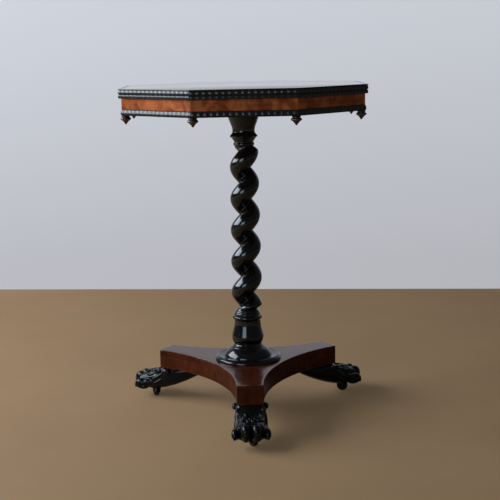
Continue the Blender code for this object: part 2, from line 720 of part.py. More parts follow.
def paw_body_mesh():
    """A loft of rounded sections from the tail under the arm out to the roots of the toes."""
    stations = 8
    around = 10
    bm = bmesh.new()
    rings = []
    for index in range(stations + 1):
        share = min(index / (stations - 1), 1.0)
        reach = -TAIL_LENGTH + (TOE_ROOT_REACH + TAIL_LENGTH) * share
        half_width, underside, top = paw_section(reach)
        half_height = (top - underside) / 2
        nose = index == stations
        if nose:
            reach += NOSE_LENGTH
            half_width -= NOSE_LENGTH
            half_height -= NOSE_LENGTH
        ring = []
        for step in range(around):
            angle = TURN * (step + 0.5) / around
            across, up = math.cos(angle), math.sin(angle)
            across = math.copysign(abs(across) ** PAW_SQUARENESS, across) * half_width
            up = math.copysign(abs(up) ** PAW_SQUARENESS, up) * half_height
            ring.append(bm.verts.new((ARM_LENGTH + reach, across, (top + underside) / 2 + up)))
        rings.append(ring)
    for near, far in zip(rings, rings[1:]):
        for step in range(around):
            following = (step + 1) % around
            bm.faces.new((near[step], near[following], far[following], far[step]))
    bm.faces.new(rings[0])
    bm.faces.new(rings[-1])
    return finished(bm, "paw_foot")


def ellipsoid_mesh(name, centre, semi_axes, tilt=0.0, splay=0.0, around=10, rings=5):
    """A round form, tilted down towards +X and splayed sideways."""
    place = Matrix.Translation(centre) @ Matrix.Rotation(splay, 4, "Z") @ Matrix.Rotation(tilt, 4, "Y")
    bm = bmesh.new()
    bmesh.ops.create_uvsphere(
        bm, u_segments=around, v_segments=rings, radius=1, matrix=place @ Matrix.Diagonal((*semi_axes, 1))
    )
    return finished(bm, name)


def paw_forms():
    """The toes with their claws, and the curl on each side under the arm."""
    toes = (
        (TOE_SPACING / 2, TOE_WIDTH, TOE_HEIGHT, TOE_REACH, 0.0),
        (
            (TOES_WIDTH - OUTER_TOE_WIDTH) / 2,
            OUTER_TOE_WIDTH,
            OUTER_TOE_HEIGHT,
            TOE_REACH - OUTER_TOE_SETBACK,
            OUTER_TOE_SPLAY,
        ),
    )
    claw_axes = (CLAW_LENGTH / 2, CLAW_WIDTH / 2, CLAW_HEIGHT / 2)
    forms = []
    for sign in (-1, 1):
        for index, (side, width, height, reach, splay) in enumerate(toes):
            front = ARM_LENGTH + reach
            axes = (TOE_LENGTH / 2, width / 2, height / 2)
            toe = (front - axes[0], sign * side, PAW_CLEARANCE + axes[2])
            tip_side = sign * (side + axes[0] * math.sin(splay))
            claw_reach = front - CLAW_SETBACK - claw_axes[0]
            claw = (claw_reach, tip_side, PAW_CLEARANCE + claw_axes[2])
            name = f"{index + 1}_{sign + 2}"
            forms.append(ellipsoid_mesh("toe_" + name, toe, axes, TOE_TILT, sign * splay))
            forms.append(ellipsoid_mesh("claw_" + name, claw, claw_axes, -TOE_TILT, sign * splay, 6, 4))
    for sign in (-1, 1):
        side = sign * (CURL_SPREAD / 2 - CURL_RADIUS)
        centre = (ARM_LENGTH - CURL_SETBACK, side, FOOT_HEIGHT - CURL_RADIUS)
        axes = (CURL_LENGTH / 2, CURL_RADIUS, CURL_RADIUS)
        forms.append(ellipsoid_mesh(f"curl_{sign + 2}", centre, axes, around=6, rings=5))
    return forms


def make_feet():
    paw = helper("paw_foot", paw_body_mesh())
    for form in paw_forms():
        combine(paw, helper(form.name, form), "UNION")
    seat = FOOT_HEIGHT - FIT_GAP
    wide = TOES_WIDTH
    arm_space = box_mesh("arm_space", (0, -wide, seat), (ARM_LENGTH + FIT_GAP, wide, FOOT_HEIGHT + wide))
    combine(paw, helper("arm_space", arm_space), "DIFFERENCE")
    pocket = cylinder_mesh(
        "castor_pocket", POCKET_RADIUS, -FIT_GAP, POCKET_CEILING, DISC_STEPS, (ARM_LENGTH + SWIVEL_REACH, 0)
    )
    combine(paw, helper("castor_pocket", pocket), "DIFFERENCE")
    dowel_place = (ARM_LENGTH - DOWEL_SETBACK, 0)
    hole = cylinder_mesh(
        "paw_dowel_hole",
        DOWEL_RADIUS + FIT_GAP,
        seat - DOWEL_DEPTH,
        seat + FIT_GAP,
        CASTOR_STEPS,
        dowel_place,
    )
    combine(paw, helper("paw_dowel_hole", hole), "DIFFERENCE")
    foot = baked(paw)
    dowel = cylinder_mesh(
        "foot_dowel",
        DOWEL_RADIUS,
        FOOT_HEIGHT - DOWEL_DEPTH,
        FOOT_HEIGHT + DOWEL_DEPTH,
        CASTOR_STEPS,
        dowel_place,
    )
    for index, arm in enumerate(ARM_ANGLES):
        part(f"paw_foot_{index + 1}", foot, EBONISED, angle=arm)
        part(f"foot_dowel_{index + 1}", dowel, PLAIN_WOOD, angle=arm)


# Castors, modelled about the pivot with the wheel trailing along +X


def castor_plate_mesh():
    """The fixing plate and its riveted pivot pin."""
    rivet_top = BRIDGE_BOTTOM - RUNNING_GAP
    rivet_bottom = rivet_top - RIVET_THICKNESS
    profile = [(0, PLATE_TOP), (PLATE_RADIUS, PLATE_TOP), (PLATE_RADIUS, PLATE_BOTTOM)]
    profile += [(PIVOT_RADIUS, PLATE_BOTTOM), (PIVOT_RADIUS, rivet_top)]
    profile += [(RIVET_RADIUS, rivet_top), (RIVET_RADIUS, rivet_bottom), (0, rivet_bottom)]
    return turned_mesh("castor_plate", profile, CASTOR_STEPS)


def cheek_mesh(name, inner, outer):
    """One side of the fork: a strap from the bridge down to a round boss at the axle."""
    bm = bmesh.new()
    for y in (inner, outer):
        for index in range(6):
            angle = math.pi + math.pi * index / 5
            x = TRAIL + CHEEK_BOSS_RADIUS * math.cos(angle)
            bm.verts.new((x, y, WHEEL_RADIUS + CHEEK_BOSS_RADIUS * math.sin(angle)))
        for x in (-CHEEK_REAR, CHEEK_FRONT):
            bm.verts.new((x, y, (BRIDGE_BOTTOM + BRIDGE_TOP) / 2))
    bmesh.ops.convex_hull(bm, input=bm.verts)
    return finished(bm, name)


def castor_fork_mesh():
    inner = WHEEL_WIDTH / 2 + CHEEK_CLEARANCE
    outer = inner + CHEEK_THICKNESS
    bridge = cylinder_mesh("castor_fork", BRIDGE_RADIUS, BRIDGE_BOTTOM, BRIDGE_TOP, CASTOR_STEPS)
    fork = helper("castor_fork", bridge)
    for name, sign in (("left_cheek", 1), ("right_cheek", -1)):
        combine(fork, helper(name, cheek_mesh(name, sign * inner, sign * outer)), "UNION")
    pivot_hole = cylinder_mesh(
        "pivot_hole",
        PIVOT_RADIUS + RUNNING_GAP,
        BRIDGE_BOTTOM - FIT_GAP,
        BRIDGE_TOP + FIT_GAP,
        CASTOR_STEPS,
    )
    combine(fork, helper("pivot_hole", pivot_hole), "DIFFERENCE")
    reach = outer + FIT_GAP
    axle_hole = cylinder_mesh("axle_hole", AXLE_RADIUS + FIT_GAP, -reach, reach, AXLE_STEPS)
    axle_hole.transform(Matrix.Translation((TRAIL, 0, WHEEL_RADIUS)) @ Matrix.Rotation(math.pi / 2, 4, "X"))
    combine(fork, helper("axle_hole", axle_hole), "DIFFERENCE")
    return baked(fork)


def castor_wheel_mesh():
    """A wheel with a rounded tread and a hub boss, its axle along Y."""
    half = WHEEL_WIDTH / 2
    bore = AXLE_RADIUS + RUNNING_GAP
    tread = (WHEEL_RADIUS - TREAD_ROUND, half - WEB_RECESS / 2)
    web = (WHEEL_HUB_RADIUS + WEB_RECESS, half - WEB_RECESS)
    upper = [(bore, half), (WHEEL_HUB_RADIUS, half), web, tread, (WHEEL_RADIUS, half / 2)]
    profile = upper + [(radius, -height) for radius, height in reversed(upper)]
    mesh = turned_mesh("castor_wheel", profile, CASTOR_STEPS, closed=True)
    mesh.transform(Matrix.Rotation(math.pi / 2, 4, "X"))
    return mesh


def castor_axle_mesh():
    half = WHEEL_WIDTH / 2 + CHEEK_CLEARANCE + CHEEK_THICKNESS
    mesh = cylinder_mesh("castor_axle", AXLE_RADIUS, -half, half, AXLE_STEPS)
    mesh.transform(Matrix.Rotation(math.pi / 2, 4, "X"))
    return mesh


def make_castors():
    plate = castor_plate_mesh()
    fork = castor_fork_mesh()
    axle = castor_axle_mesh()
    wheel = castor_wheel_mesh()
    hub = (TRAIL, 0, WHEEL_RADIUS)
    for index, (arm, heading) in enumerate(zip(ARM_ANGLES, CASTOR_HEADINGS)):
        pivot = (*arm_point(arm, ARM_LENGTH + SWIVEL_REACH), 0)
        part(f"castor_plate_{index + 1}", plate, CASTOR_METAL, pivot, arm)
        swivel = part(f"castor_fork_{index + 1}", fork, CASTOR_METAL, pivot, heading)
        part(f"castor_axle_{index + 1}", axle, AXLE_STEEL, hub, parent=swivel)
        part(f"castor_wheel_{index + 1}", wheel, CASTOR_METAL, hub, parent=swivel)


make_top()
make_top_moulding()
make_frieze()
make_base_moulding()
make_pendants()
make_bearer()
make_column()
make_socle_disc()
make_platform()
make_feet()
make_castors()
for cutter in list(CUTTERS.objects):
    bpy.data.objects.remove(cutter, do_unlink=True)
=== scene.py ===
import math

import bmesh
import bpy
from mathutils import Matrix, Vector


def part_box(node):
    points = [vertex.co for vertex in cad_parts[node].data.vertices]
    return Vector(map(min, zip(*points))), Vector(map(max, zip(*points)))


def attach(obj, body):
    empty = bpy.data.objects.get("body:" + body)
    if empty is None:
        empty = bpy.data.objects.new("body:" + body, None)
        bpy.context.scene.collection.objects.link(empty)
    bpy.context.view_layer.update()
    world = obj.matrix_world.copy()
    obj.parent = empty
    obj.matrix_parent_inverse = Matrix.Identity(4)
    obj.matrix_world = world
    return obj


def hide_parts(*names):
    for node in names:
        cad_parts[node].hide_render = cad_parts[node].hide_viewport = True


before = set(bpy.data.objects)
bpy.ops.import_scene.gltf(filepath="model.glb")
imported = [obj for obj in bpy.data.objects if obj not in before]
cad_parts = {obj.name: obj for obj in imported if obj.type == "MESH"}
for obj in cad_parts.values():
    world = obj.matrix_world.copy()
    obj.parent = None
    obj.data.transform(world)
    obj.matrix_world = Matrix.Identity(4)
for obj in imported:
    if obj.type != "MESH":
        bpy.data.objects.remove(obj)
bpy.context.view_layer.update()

# Sizes in metres, as the solids have them
TURN = 2 * math.pi
SIDES = 8
HALF_SIDE = math.pi / SIDES
FIT_GAP = 0.0003
RIPPLES_PER_SIDE = 17
RIPPLE_DEPTH = 0.0010
TWIST_PITCH = 0.070
TWIST_DEPTH = 0.0220
TWIST_RADIUS_TOP = 0.0316
TWIST_RADIUS_BOTTOM = 0.0350
TWIST_RUNOUT = 0.013
TWIST_CREST_ANGLE = math.radians(-28.0)
ARM_LENGTH = 0.221
ARM_END_WIDTH = 0.0565
WAIST_DISTANCE = 0.088
ARM_ANGLES = (math.radians(270), math.radians(30), math.radians(150))
SWIVEL_DISTANCE = 0.250
CASTOR_HEADINGS = (math.radians(-60), math.radians(-20), math.radians(-100))
TRAIL = 0.008
WHEEL_RADIUS = 0.013
WHEEL_WIDTH = 0.011
POCKET_RADIUS = 0.0233

BOARD_LOW, BOARD_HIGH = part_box("top_board")
TOP_STRIP_LOW, TOP_STRIP_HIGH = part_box("top_moulding_1")
FRIEZE_LOW, FRIEZE_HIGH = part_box("frieze_board_1")
BASE_STRIP_LOW, BASE_STRIP_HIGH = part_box("base_moulding_1")
COLUMN_LOW, COLUMN_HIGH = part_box("column")
DISC_LOW, DISC_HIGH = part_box("socle_disc")
PLATFORM_LOW, PLATFORM_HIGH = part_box("platform")
PLATE_LOW, PLATE_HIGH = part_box("castor_plate_1")


# Shader helpers


def put(tree, kind, settings=None, **sockets):
    """A shader node with its settings, and each socket set or linked."""
    made = tree.nodes.new(kind)
    for key, value in (settings or {}).items():
        setattr(made, key, value)
    for name, value in sockets.items():
        socket = made.inputs[name.replace("_", " ")]
        if isinstance(value, bpy.types.NodeSocket):
            tree.links.new(value, socket)
        else:
            socket.default_value = value
    return made


def blend_colour(tree, factor, first, second, mode="MIX"):
    made = tree.nodes.new("ShaderNodeMix")
    made.data_type = "RGBA"
    made.blend_type = mode
    for index, value in ((0, factor), (6, first), (7, second)):
        if isinstance(value, bpy.types.NodeSocket):
            tree.links.new(value, made.inputs[index])
        else:
            made.inputs[index].default_value = value
    return made.outputs[2]


def maths(tree, operation, first, second=0.0, clamp=False):
    made = tree.nodes.new("ShaderNodeMath")
    made.operation = operation
    made.use_clamp = clamp
    for index, value in enumerate((first, second)):
        if isinstance(value, bpy.types.NodeSocket):
            tree.links.new(value, made.inputs[index])
        else:
            made.inputs[index].default_value = value
    return made.outputs[0]


def spread(tree, value, low, high, to_low=0.0, to_high=1.0):
    """A value's range from low to high, stretched to a new range and clamped."""
    made = put(tree, "ShaderNodeMapRange", Value=value, From_Min=low, From_Max=high, To_Min=to_low, To_Max=to_high)
    return made.outputs[0]


def stretched(tree, vector, scale):
    return put(tree, "ShaderNodeMapping", Vector=vector, Scale=scale).outputs[0]


def speckle(tree, vector, scale, detail=3.0, roughness=0.5, distortion=0.0):
    made = put(
        tree,
        "ShaderNodeTexNoise",
        Vector=vector,
        Scale=scale,
        Detail=detail,
        Roughness=roughness,
        Distortion=distortion,
    )
    return made.outputs[0]


def new_group(name, inputs, outputs):
    """An empty shader group and its input and output nodes."""
    tree = bpy.data.node_groups.new(name, "ShaderNodeTree")
    for label, kind, value in inputs:
        socket = tree.interface.new_socket(label, in_out="INPUT", socket_type=kind)
        if value is not None:
            socket.default_value = value
    for label, kind in outputs:
        tree.interface.new_socket(label, in_out="OUTPUT", socket_type=kind)
    return tree, tree.nodes.new("NodeGroupInput").outputs, tree.nodes.new("NodeGroupOutput").inputs


FLOAT = "NodeSocketFloat"
VECTOR = "NodeSocketVector"


def wood_grain_group():
    """Figure, streaks and pores of polished timber, with the grain along the vector's X, in metres."""
    tree, given, result = new_group(
        "timber_grain",
        [("Vector", VECTOR, None), ("Figure Scale", FLOAT, 1.0)],
        [("Figure", FLOAT), ("Streaks", FLOAT), ("Pores", FLOAT), ("Height", FLOAT)],
    )
    scaled = put(tree, "ShaderNodeVectorMath", {"operation": "SCALE"}, Vector=given["Vector"])
    tree.links.new(given["Figure Scale"], scaled.inputs["Scale"])
    vector = scaled.outputs[0]
    figure = speckle(tree, stretched(tree, vector, (9, 26, 26)), 1.0, 4.0, 0.55, 1.4)
    streaks = speckle(tree, stretched(tree, vector, (7, 190, 190)), 1.0, 5.0, 0.6, 0.5)
    pores = speckle(tree, stretched(tree, vector, (90, 1500, 1500)), 1.0, 2.0, 0.5)
    tree.links.new(spread(tree, figure, 0.30, 0.70), result["Figure"])
    tree.links.new(spread(tree, streaks, 0.34, 0.68), result["Streaks"])
    dark_pores = spread(tree, pores, 0.60, 0.72)
    tree.links.new(dark_pores, result["Pores"])
    height = maths(tree, "SUBTRACT", maths(tree, "MULTIPLY", streaks, 0.6), maths(tree, "MULTIPLY", dark_pores, 0.4))
    tree.links.new(height, result["Height"])
    return tree


def polish_group():
    """Roughness of an old hand-rubbed polish: broad dulling, rubbed patches and fine scratches."""
    tree, given, result = new_group(
        "hand_polish",
        [("Vector", VECTOR, None), ("Bright", FLOAT, 0.15), ("Dull", FLOAT, 0.35)],
        [("Roughness", FLOAT), ("Height", FLOAT)],
    )
    broad = speckle(tree, given["Vector"], 14.0, 3.0, 0.6)
    rubbed = speckle(tree, given["Vector"], 90.0, 4.0, 0.65)
    scratch = speckle(tree, stretched(tree, given["Vector"], (60, 900, 340)), 1.0, 2.0, 0.6)
    both = maths(tree, "ADD", maths(tree, "MULTIPLY", broad, 0.65), maths(tree, "MULTIPLY", rubbed, 0.35))
    mask = spread(tree, both, 0.36, 0.66)
    span = maths(tree, "SUBTRACT", given["Dull"], given["Bright"])
    rough = maths(tree, "ADD", given["Bright"], maths(tree, "MULTIPLY", span, mask))
    nick = maths(tree, "MULTIPLY", spread(tree, scratch, 0.66, 0.76), 0.10)
    tree.links.new(maths(tree, "ADD", rough, nick, True), result["Roughness"])
    tree.links.new(maths(tree, "SUBTRACT", rubbed, nick), result["Height"])
    return tree


def wear_group():
    """Where hands and brooms have rubbed an edge: a marked edge broken up by the grain of the wear."""
    tree, given, result = new_group(
        "edge_rub",
        [("Vector", VECTOR, None), ("Edge", FLOAT, 0.0), ("Amount", FLOAT, 0.5)],
        [("Worn", FLOAT)],
    )
    patch = speckle(tree, given["Vector"], 38.0, 4.0, 0.6)
    fine = speckle(tree, given["Vector"], 240.0, 3.0, 0.6)
    broken = maths(tree, "ADD", maths(tree, "MULTIPLY", patch, 0.7), maths(tree, "MULTIPLY", fine, 0.3))
    reach = maths(tree, "ADD", maths(tree, "MULTIPLY", given["Edge"], given["Amount"]), broken)
    tree.links.new(maths(tree, "MULTIPLY", spread(tree, reach, 0.75, 1.0), given["Edge"]), result["Worn"])
    return tree


def dust_group():
    """A thin grey bloom that settles on what faces up and stays in patches."""
    tree, given, result = new_group("dust_bloom", [("Vector", VECTOR, None), ("Amount", FLOAT, 0.1)], [("Dust", FLOAT)])
    facing = put(tree, "ShaderNodeSeparateXYZ", Vector=put(tree, "ShaderNodeNewGeometry").outputs["Normal"])
    upward = spread(tree, facing.outputs["Z"], 0.35, 1.0)
    patches = spread(tree, speckle(tree, given["Vector"], 30.0, 5.0, 0.65), 0.35, 0.7, 0.35, 1.0)
    tree.links.new(
        maths(tree, "MULTIPLY", maths(tree, "MULTIPLY", upward, patches), given["Amount"]), result["Dust"]
    )
    return tree


GRAIN = wood_grain_group()
POLISH = polish_group()
WEAR = wear_group()
DUST = dust_group()


def use(tree, group, **sockets):
    made = put(tree, "ShaderNodeGroup", {"node_tree": group}, **sockets)
    return made.outputs


def new_finish(name):
    made = bpy.data.materials.new(name)
    made.use_nodes = True
    tree = made.node_tree
    return made, tree, tree.nodes["Principled BSDF"]


def relief(tree, shader, height, depth, strength=1.0):
    bump = put(tree, "ShaderNodeBump", Height=height, Distance=depth, Strength=strength)
    tree.links.new(bump.outputs[0], shader.inputs["Normal"])


def marked_edge(tree):
    return put(tree, "ShaderNodeAttribute", {"attribute_name": "edge"}).outputs["Fac"]


def timber(name, dark, middle, light, worn, bright=0.14, dull=0.34, turn=(0, 0, 0), on_surface=False, figure=1.0,
           coat=0.35, wear=0.5, dust=0.04, shine=0.5, mottle=0.0, patch=(75, 28, 28)):
    """A veneered and polished finish. Its grain runs along X, turned as asked, or along the piece's own UV map."""
    made, tree, shader = new_finish(name)
    places = put(tree, "ShaderNodeTexCoord").outputs
    place = places["UV"] if on_surface else places["Object"]
    along = put(tree, "ShaderNodeMapping", Vector=place, Rotation=turn).outputs[0]
    grain = use(tree, GRAIN, Vector=along, Figure_Scale=figure)
    tone = blend_colour(tree, grain["Figure"], (*dark, 1), (*middle, 1))
    lit = maths(tree, "MULTIPLY", grain["Streaks"], 0.55)
    tone = blend_colour(tree, lit, tone, (*light, 1))
    flame = speckle(tree, stretched(tree, along, patch), 1.0, 3.0, 0.5, 0.8)
    tone = blend_colour(tree, spread(tree, flame, 0.42, 0.62, 0.0, mottle), tone, (*[c * 1.5 for c in light], 1))
    tone = blend_colour(tree, spread(tree, flame, 0.50, 0.30, 0.0, mottle), tone, (*dark, 1))
    tone = blend_colour(tree, maths(tree, "MULTIPLY", grain["Pores"], 0.45), tone, (*[c * 0.35 for c in dark], 1))
    rubbed = use(tree, WEAR, Vector=places["Object"], Edge=marked_edge(tree), Amount=wear)["Worn"]
    tone = blend_colour(tree, rubbed, tone, (*worn, 1))
    settled = use(tree, DUST, Vector=places["Object"], Amount=dust)["Dust"]
    tone = blend_colour(tree, settled, tone, (0.36, 0.35, 0.34, 1))
    tree.links.new(tone, shader.inputs["Base Color"])
    polish = use(tree, POLISH, Vector=places["Object"], Bright=bright, Dull=dull)
    rough = maths(tree, "ADD", polish["Roughness"], maths(tree, "MULTIPLY", rubbed, 0.15), True)
    tree.links.new(rough, shader.inputs["Roughness"])
    shader.inputs["Specular IOR Level"].default_value = shine
    shader.inputs["Coat Weight"].default_value = coat
    shader.inputs["Coat Roughness"].default_value = 0.10
    relief(tree, shader, grain["Height"], 0.00012, 0.5)
    return made


def ebonised(name, bright=0.10, dull=0.24, turn=(0, math.pi / 2, 0), wear=0.3, dust=0.01, shine=0.5, depth=1.0):
    """Black-stained fruitwood under polish: near black, browner where it is rubbed."""
    made, tree, shader = new_finish(name)
    place = put(tree, "ShaderNodeTexCoord").outputs["Object"]
    along = put(tree, "ShaderNodeMapping", Vector=place, Rotation=turn).outputs[0]
    grain = use(tree, GRAIN, Vector=along, Figure_Scale=1.3)
    stain = maths(tree, "MULTIPLY", grain["Streaks"], 0.5)
    black = (*[c * depth for c in (0.0024, 0.0024, 0.0024)], 1)
    brown = (*[c * depth for c in (0.0064, 0.0050, 0.0042)], 1)
    tone = blend_colour(tree, stain, black, brown)
    rubbed = use(tree, WEAR, Vector=place, Edge=marked_edge(tree), Amount=wear)["Worn"]
    tone = blend_colour(tree, maths(tree, "MULTIPLY", rubbed, 0.7), tone, (0.030, 0.014, 0.008, 1))
    settled = use(tree, DUST, Vector=place, Amount=dust)["Dust"]
    tone = blend_colour(tree, settled, tone, (0.30, 0.29, 0.28, 1))
    tree.links.new(tone, shader.inputs["Base Color"])
    polish = use(tree, POLISH, Vector=place, Bright=bright, Dull=dull)
    rough = maths(tree, "ADD", polish["Roughness"], maths(tree, "MULTIPLY", settled, 1.2), True)
    tree.links.new(rough, shader.inputs["Roughness"])
    shader.inputs["Specular IOR Level"].default_value = shine
    grain_height = maths(tree, "MULTIPLY", grain["Height"], 0.6)
    height = maths(tree, "ADD", grain_height, maths(tree, "MULTIPLY", polish["Height"], 0.4))
    relief(tree, shader, height, 0.00012, 0.45)
    return made


def bare_timber(name, dark, light, turn=(0, 0, 0)):
    """Sawn and planed secondary wood that was never polished."""
    made, tree, shader = new_finish(name)
    place = put(tree, "ShaderNodeTexCoord").outputs["Object"]
    along = put(tree, "ShaderNodeMapping", Vector=place, Rotation=turn).outputs[0]
    grain = use(tree, GRAIN, Vector=along, Figure_Scale=1.0)
    mixed = maths(tree, "ADD", maths(tree, "MULTIPLY", grain["Figure"], 0.4), maths(tree, "MULTIPLY", grain["Streaks"], 0.6))
    tone = blend_colour(tree, mixed, (*dark, 1), (*light, 1))
    grime = spread(tree, speckle(tree, place, 22.0, 5.0, 0.65), 0.42, 0.72, 0.0, 0.55)
    tone = blend_colour(tree, grime, tone, (*[c * 0.35 for c in dark], 1))
    tree.links.new(tone, shader.inputs["Base Color"])
    tree.links.new(spread(tree, mixed, 0.0, 1.0, 0.55, 0.8), shader.inputs["Roughness"])
    relief(tree, shader, grain["Height"], 0.0004, 0.7)
    return made


def aged_metal(name, tone, patina, metal=0.9, bright=0.30, dull=0.55):
    """Cast metal gone dark with handling and floor dirt, brighter where it is rubbed."""
    made, tree, shader = new_finish(name)
    place = put(tree, "ShaderNodeTexCoord").outputs["Object"]
    blotch = spread(tree, speckle(tree, place, 160.0, 5.0, 0.65), 0.38, 0.66)
    colour = blend_colour(tree, blotch, (*tone, 1), (*patina, 1))
    rubbed = use(tree, WEAR, Vector=place, Edge=marked_edge(tree), Amount=0.5)["Worn"]
    colour = blend_colour(tree, rubbed, colour, (*[min(1.0, c * 2.2) for c in tone], 1))
    tree.links.new(colour, shader.inputs["Base Color"])
    tree.links.new(spread(tree, blotch, 0.0, 1.0, metal, metal * 0.6), shader.inputs["Metallic"])
    polish = use(tree, POLISH, Vector=place, Bright=bright, Dull=dull)
    tree.links.new(polish["Roughness"], shader.inputs["Roughness"])
    pits = speckle(tree, place, 900.0, 3.0, 0.6)
    relief(tree, shader, pits, 0.00008, 0.5)
    return made


UPRIGHT = (0, math.pi / 2, 0)
BLACK_TURNED = ebonised("ebonised_turning", 0.08, 0.17, shine=0.47, depth=0.6)
BLACK_SOCLE = ebonised("ebonised_socle", 0.07, 0.14, shine=0.42)
BLACK_MOULDING = ebonised("ebonised_moulding", 0.14, 0.22, (0, 0, 0), 0.3, shine=0.30, depth=5.0)
BLACK_CARVED = ebonised("ebonised_carving", 0.09, 0.17, (0, 0, 0), 0.15, shine=0.17)
FRIEZE_VENEER = timber(
    "frieze_veneer", (0.130, 0.0200, 0.0055), (0.247, 0.0495, 0.0138), (0.415, 0.1200, 0.0330), (0.36, 0.13, 0.04),
    0.20, 0.30, on_surface=True, coat=0.0, dust=0.0, shine=0.12, mottle=0.44, patch=(44, 34, 34),
)
TOP_VENEER = timber(
    "top_veneer", (0.075, 0.022, 0.009), (0.130, 0.045, 0.018), (0.20, 0.075, 0.028), (0.26, 0.12, 0.05),
    0.07, 0.16, coat=1.0, dust=0.02, shine=0.7,
)
PLATFORM_VENEER = timber(
    "platform_veneer", (0.025, 0.0047, 0.0016), (0.043, 0.0090, 0.0030), (0.070, 0.0165, 0.0054), (0.13, 0.070, 0.040),
    0.11, 0.20, on_surface=True, wear=0.30, coat=0.0, dust=0.0, shine=0.32, mottle=0.30,
)
PLATFORM_SIDES = timber(
    "platform_sides", (0.026, 0.0046, 0.0014), (0.046, 0.0092, 0.0027), (0.076, 0.0170, 0.0048), (0.13, 0.070, 0.040),
    0.30, 0.42, on_surface=True, wear=0.30, coat=0.0, dust=0.0, shine=0.05, mottle=0.30,
)
PENDANT_STAIN = timber(
    "pendant_stain", (0.018, 0.0060, 0.0034), (0.039, 0.0122, 0.0066), (0.078, 0.0245, 0.0120), (0.12, 0.05, 0.02),
    0.12, 0.24, UPRIGHT, figure=1.6, coat=0.0, dust=0.0,
)
DEAL = bare_timber("unpolished_deal", (0.21, 0.115, 0.055), (0.36, 0.22, 0.11))
OAK = bare_timber("unpolished_oak", (0.16, 0.090, 0.045), (0.27, 0.165, 0.085))
OAK_UPRIGHT = bare_timber("unpolished_oak_upright", (0.16, 0.090, 0.045), (0.27, 0.165, 0.085), UPRIGHT)
CASTOR_BRASS = aged_metal("aged_castor_brass", (0.016, 0.013, 0.009), (0.006, 0.0055, 0.005))
AXLE_STEEL = aged_metal("worn_axle_steel", (0.26, 0.25, 0.24), (0.06, 0.05, 0.045), 1.0)
SCREW_BRASS = aged_metal("screw_brass", (0.30, 0.20, 0.09), (0.06, 0.045, 0.03))


# Mesh helpers


def tidy(bm, weld=0.000005):
    bmesh.ops.remove_doubles(bm, verts=bm.verts, dist=weld)
    bmesh.ops.recalc_face_normals(bm, faces=bm.faces)
    return bm


def mesh_from(bm, name, sharp=35):
    mesh = bpy.data.meshes.new(name)
    bm.to_mesh(mesh)
    mesh.shade_smooth()
    mesh.set_sharp_from_angle(angle=math.radians(sharp))
    return mesh


def piece(name, bm, finishes, node, body="table", sharp=35):
    """A finished piece that stands for a node and moves with its body."""
    made = bpy.data.objects.new(name, mesh_from(bm, name, sharp))
    for finish in finishes if isinstance(finishes, (list, tuple)) else [finishes]:
        made.data.materials.append(finish)
    bpy.context.scene.collection.objects.link(made)
    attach(made, body)
    if node:
        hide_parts(node)
    return made


def turned_copy(bm, angle):
    made = bm.copy()
    bmesh.ops.rotate(made, verts=made.verts, cent=(0, 0, 0), matrix=Matrix.Rotation(angle, 3, "Z"))
    return made


def verts_of(result, key="geom"):
    return [item for item in result[key] if isinstance(item, bmesh.types.BMVert)]


def edges_of(result, key="geom"):
    return [item for item in result[key] if isinstance(item, bmesh.types.BMEdge)]


def through(points, per_span=6):
    """A smooth line through the points, first and last included."""
    line = [points[0]]
    for index in range(len(points) - 1):
        before = points[max(index - 1, 0)]
        start, end = points[index], points[index + 1]
        after = points[min(index + 2, len(points) - 1)]
        for step in range(1, per_span + 1):
            t = step / per_span
            spot = []
            for a, b, c, d in zip(before, start, end, after):
                spot.append(0.5 * (2 * b + (c - a) * t + (2 * a - 5 * b + 4 * c - d) * t**2 + (3 * b - a - 3 * c + d) * t**3))
            line.append(tuple(spot))
    return line


def half_round(start, end, swell, count=8, fullness=2.0):
    """Points from start to end along a bead that stands out by swell, squarer as its fullness grows."""
    across, along = end[0] - start[0], end[1] - start[1]
    length = math.hypot(across, along)
    points = []
    for index in range(count + 1):
        share = 0.5 - 0.5 * math.cos(math.pi * index / count)
        out = swell * max(0.0, 1 - abs(2 * share - 1) ** fullness) ** (1 / fullness)
        points.append((start[0] + across * share - along / length * out, start[1] + along * share + across / length * out))
    return points


def turning(profile, steps=64, closed=False):
    """A lathe-turned form about Z, from (radius, height) points that run down its outside."""
    bm = bmesh.new()
    line = [bm.verts.new((radius, 0, height)) for radius, height in profile]
    edges = [bm.edges.new(pair) for pair in zip(line, line[1:])]
    if closed:
        edges.append(bm.edges.new((line[-1], line[0])))
    bmesh.ops.spin(
        bm, geom=line + edges, cent=(0, 0, 0), axis=(0, 0, 1), dvec=(0, 0, 0), angle=TURN, steps=steps, use_merge=True
    )
    return tidy(bm)


def mitre(bm):
    """Cuts both ends of a side that faces +X along the corner lines of the octagon, and closes them."""
    for sign in (-1, 1):
        outward = Vector((-math.sin(HALF_SIDE), sign * math.cos(HALF_SIDE), 0))
        cut = bmesh.ops.bisect_plane(
            bm,
            geom=bm.verts[:] + bm.edges[:] + bm.faces[:],
            dist=0.000001,
            plane_co=outward * (-FIT_GAP / 2),
            plane_no=outward,
            clear_outer=True,
        )
        bmesh.ops.holes_fill(bm, edges=edges_of(cut, "geom_cut"), sides=0)
    return tidy(bm)


def swept_side(section, reach, cuts):
    """A section of (distance, height) points swept along Y from -reach to reach, with evenly spaced rings."""
    bm = bmesh.new()
    face = bm.faces.new([bm.verts.new((distance, -reach, height)) for distance, height in section])
    ends = verts_of(bmesh.ops.extrude_face_region(bm, geom=[face]))
    bmesh.ops.translate(bm, verts=ends, vec=(0, 2 * reach, 0))
    lengthwise = [edge for edge in bm.edges if abs(edge.verts[0].co.y - edge.verts[1].co.y) > reach]
    bmesh.ops.subdivide_edges(bm, edges=lengthwise, cuts=cuts, use_grid_fill=True)
    return tidy(bm)


def smooth_step(share):
    share = min(max(share, 0.0), 1.0)
    return share * share * (3 - 2 * share)


